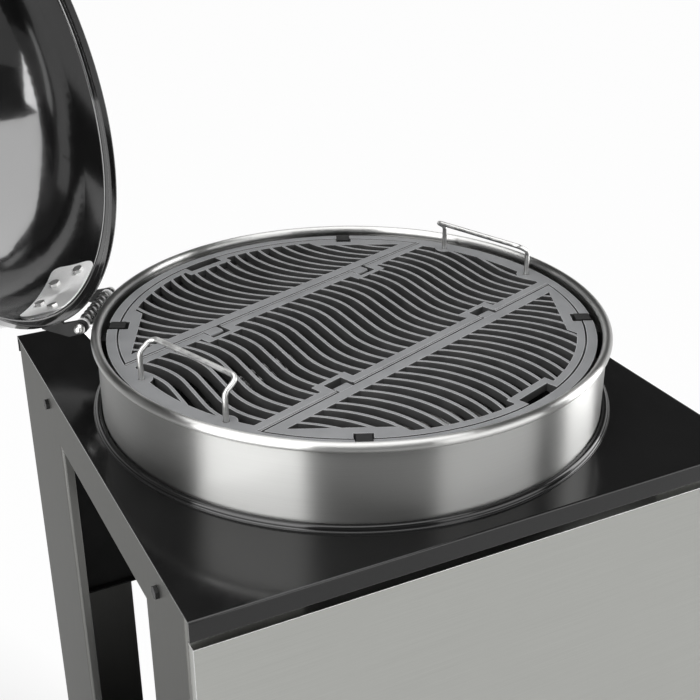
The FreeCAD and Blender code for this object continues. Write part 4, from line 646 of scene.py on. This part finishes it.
def dial_scale():
    """Ticks round the card, with a long one now and then."""
    bars = []
    for step in range(DIAL_TICKS):
        turn = Matrix.Rotation(DIAL_START - DIAL_SWEEP * step / (DIAL_TICKS - 1), 4, "Z")
        length = DIAL_LONG_TICK if step % DIAL_LONG_EVERY == 0 else DIAL_SHORT_TICK
        lie = turn @ Matrix.Translation((DIAL_SCALE_RADIUS - length, 0, DIAL_CARD))
        bars.append((lie, (length, DIAL_TICK_WIDTH, DIAL_MARK_HEIGHT)))
    return bars_mesh(bars)


def dial_pointer():
    """A tapered pointer that rests at the low end of the scale."""
    turn = Matrix.Rotation(DIAL_START, 4, "Z")
    lie = turn @ Matrix.Translation((-DIAL_NEEDLE_TAIL, 0, DIAL_NEEDLE_LEVEL))
    size = (DIAL_NEEDLE_TAIL + DIAL_NEEDLE_REACH, DIAL_NEEDLE_WIDTH, DIAL_MARK_HEIGHT)
    return bars_mesh([(lie, size, DIAL_NEEDLE_TAPER)])


def make_dial(clear):
    """The thermometer's card, scale and pointer, and last its lens, which stands for the CAD's glass."""
    ink = matt("dial_ink", grey(0.012), grey(0.02), rough=0.5)
    paper = matt("dial_card", (0.72, 0.72, 0.7), (0.78, 0.78, 0.76), rough=0.6)
    lie = gauge_frame()
    for name, mesh, material, slot in (
        ("dial_card", dial_card(), paper, "dial_glass"),
        ("dial_scale", dial_scale(), ink, "black_steel"),
        ("dial_pointer", dial_pointer(), ink, "black_steel"),
        ("dial_lens", dial_lens(), clear, "dial_glass"),
    ):
        mesh.transform(lie)
        piece = new_piece(name, mesh, material, "lid")
    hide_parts("gauge_glass")


# Studio
def area_light(name, place, target, size, radiance):
    data = bpy.data.lights.new(name, "AREA")
    data.shape = "RECTANGLE"
    data.size, data.size_y = size
    data.energy = radiance * math.pi * size[0] * size[1]
    light = bpy.data.objects.new(name, data)
    place = Vector(place)
    aim = (Vector(target) - place).to_track_quat("-Z", "Y")
    light.matrix_world = Matrix.Translation(place) @ aim.to_matrix().to_4x4()
    light.visible_camera = False
    bpy.context.scene.collection.objects.link(light)


def make_lights():
    """A large lamp overhead, and softboxes whose bands on the collar fall near the photograph's."""
    for name, place, target, size, radiance in (
        ("overhead", (-0.75, -0.05, 3.2), (-0.75, -0.05, 0), (3.7, 3.7), 2.5),
        ("left_softbox", (-1.62, -0.73, 1.2), KETTLE_MIDDLE, (1.45, 2.3), 4.4),
        ("right_softbox", (1.79, -0.4, 1.1), KETTLE_MIDDLE, (0.75, 2.0), 5.2),
        ("front_softbox", (1.05, -1.95, 1.2), KETTLE_MIDDLE, (1.85, 2.0), 2.0),
    ):
        area_light(name, place, target, size, radiance)


def make_floor():
    """A grey floor that meets a wall far away, both seen as white behind the object."""
    form = bmesh.new()
    near, far = [], []
    for step in range(FLOOR_SIDES):
        angle = math.tau * step / FLOOR_SIDES
        x, y = FLOOR_RADIUS * math.cos(angle), FLOOR_RADIUS * math.sin(angle)
        near.append(form.verts.new((x, y, 0)))
        far.append(form.verts.new((x, y, WALL_HEIGHT)))
    form.faces.new(near)
    for step in range(FLOOR_SIDES):
        after = (step + 1) % FLOOR_SIDES
        form.faces.new((near[after], near[step], far[step], far[after]))
    mesh = take_mesh(form, "floor")
    floor = bpy.data.objects.new("floor", mesh)
    bpy.context.scene.collection.objects.link(floor)
    shader = Shader("floor_paint")
    low, high = FLOOR_GREYS
    shader.feed("Base Color", shader.ramp(shader.noise(shader.place(), scale=3), grey(low), grey(high)))
    shader.set(Roughness=FLOOR_ROUGHNESS)
    shader.background(*FLOOR_WHITE_SHARES, *FLOOR_WHITE_SPAN)
    mesh.materials.append(shader.material)


def make_world():
    """A dim studio round the softboxes."""
    world = bpy.data.worlds.new("studio")
    bpy.context.scene.world = world
    world.use_nodes = True
    background = world.node_tree.nodes["Background"]
    background.inputs["Color"].default_value = (1, 1, 1, 1)
    background.inputs["Strength"].default_value = WORLD_STRENGTH


make_camera()
make_floor()
make_world()
dress_nodes()
make_spring()
make_bead(NODES["worktop"].material_slots[0].material)
make_dial(NODES["gauge_glass"].material_slots[0].material)
make_lights()

bpy.context.scene.view_settings.view_transform = "Standard"
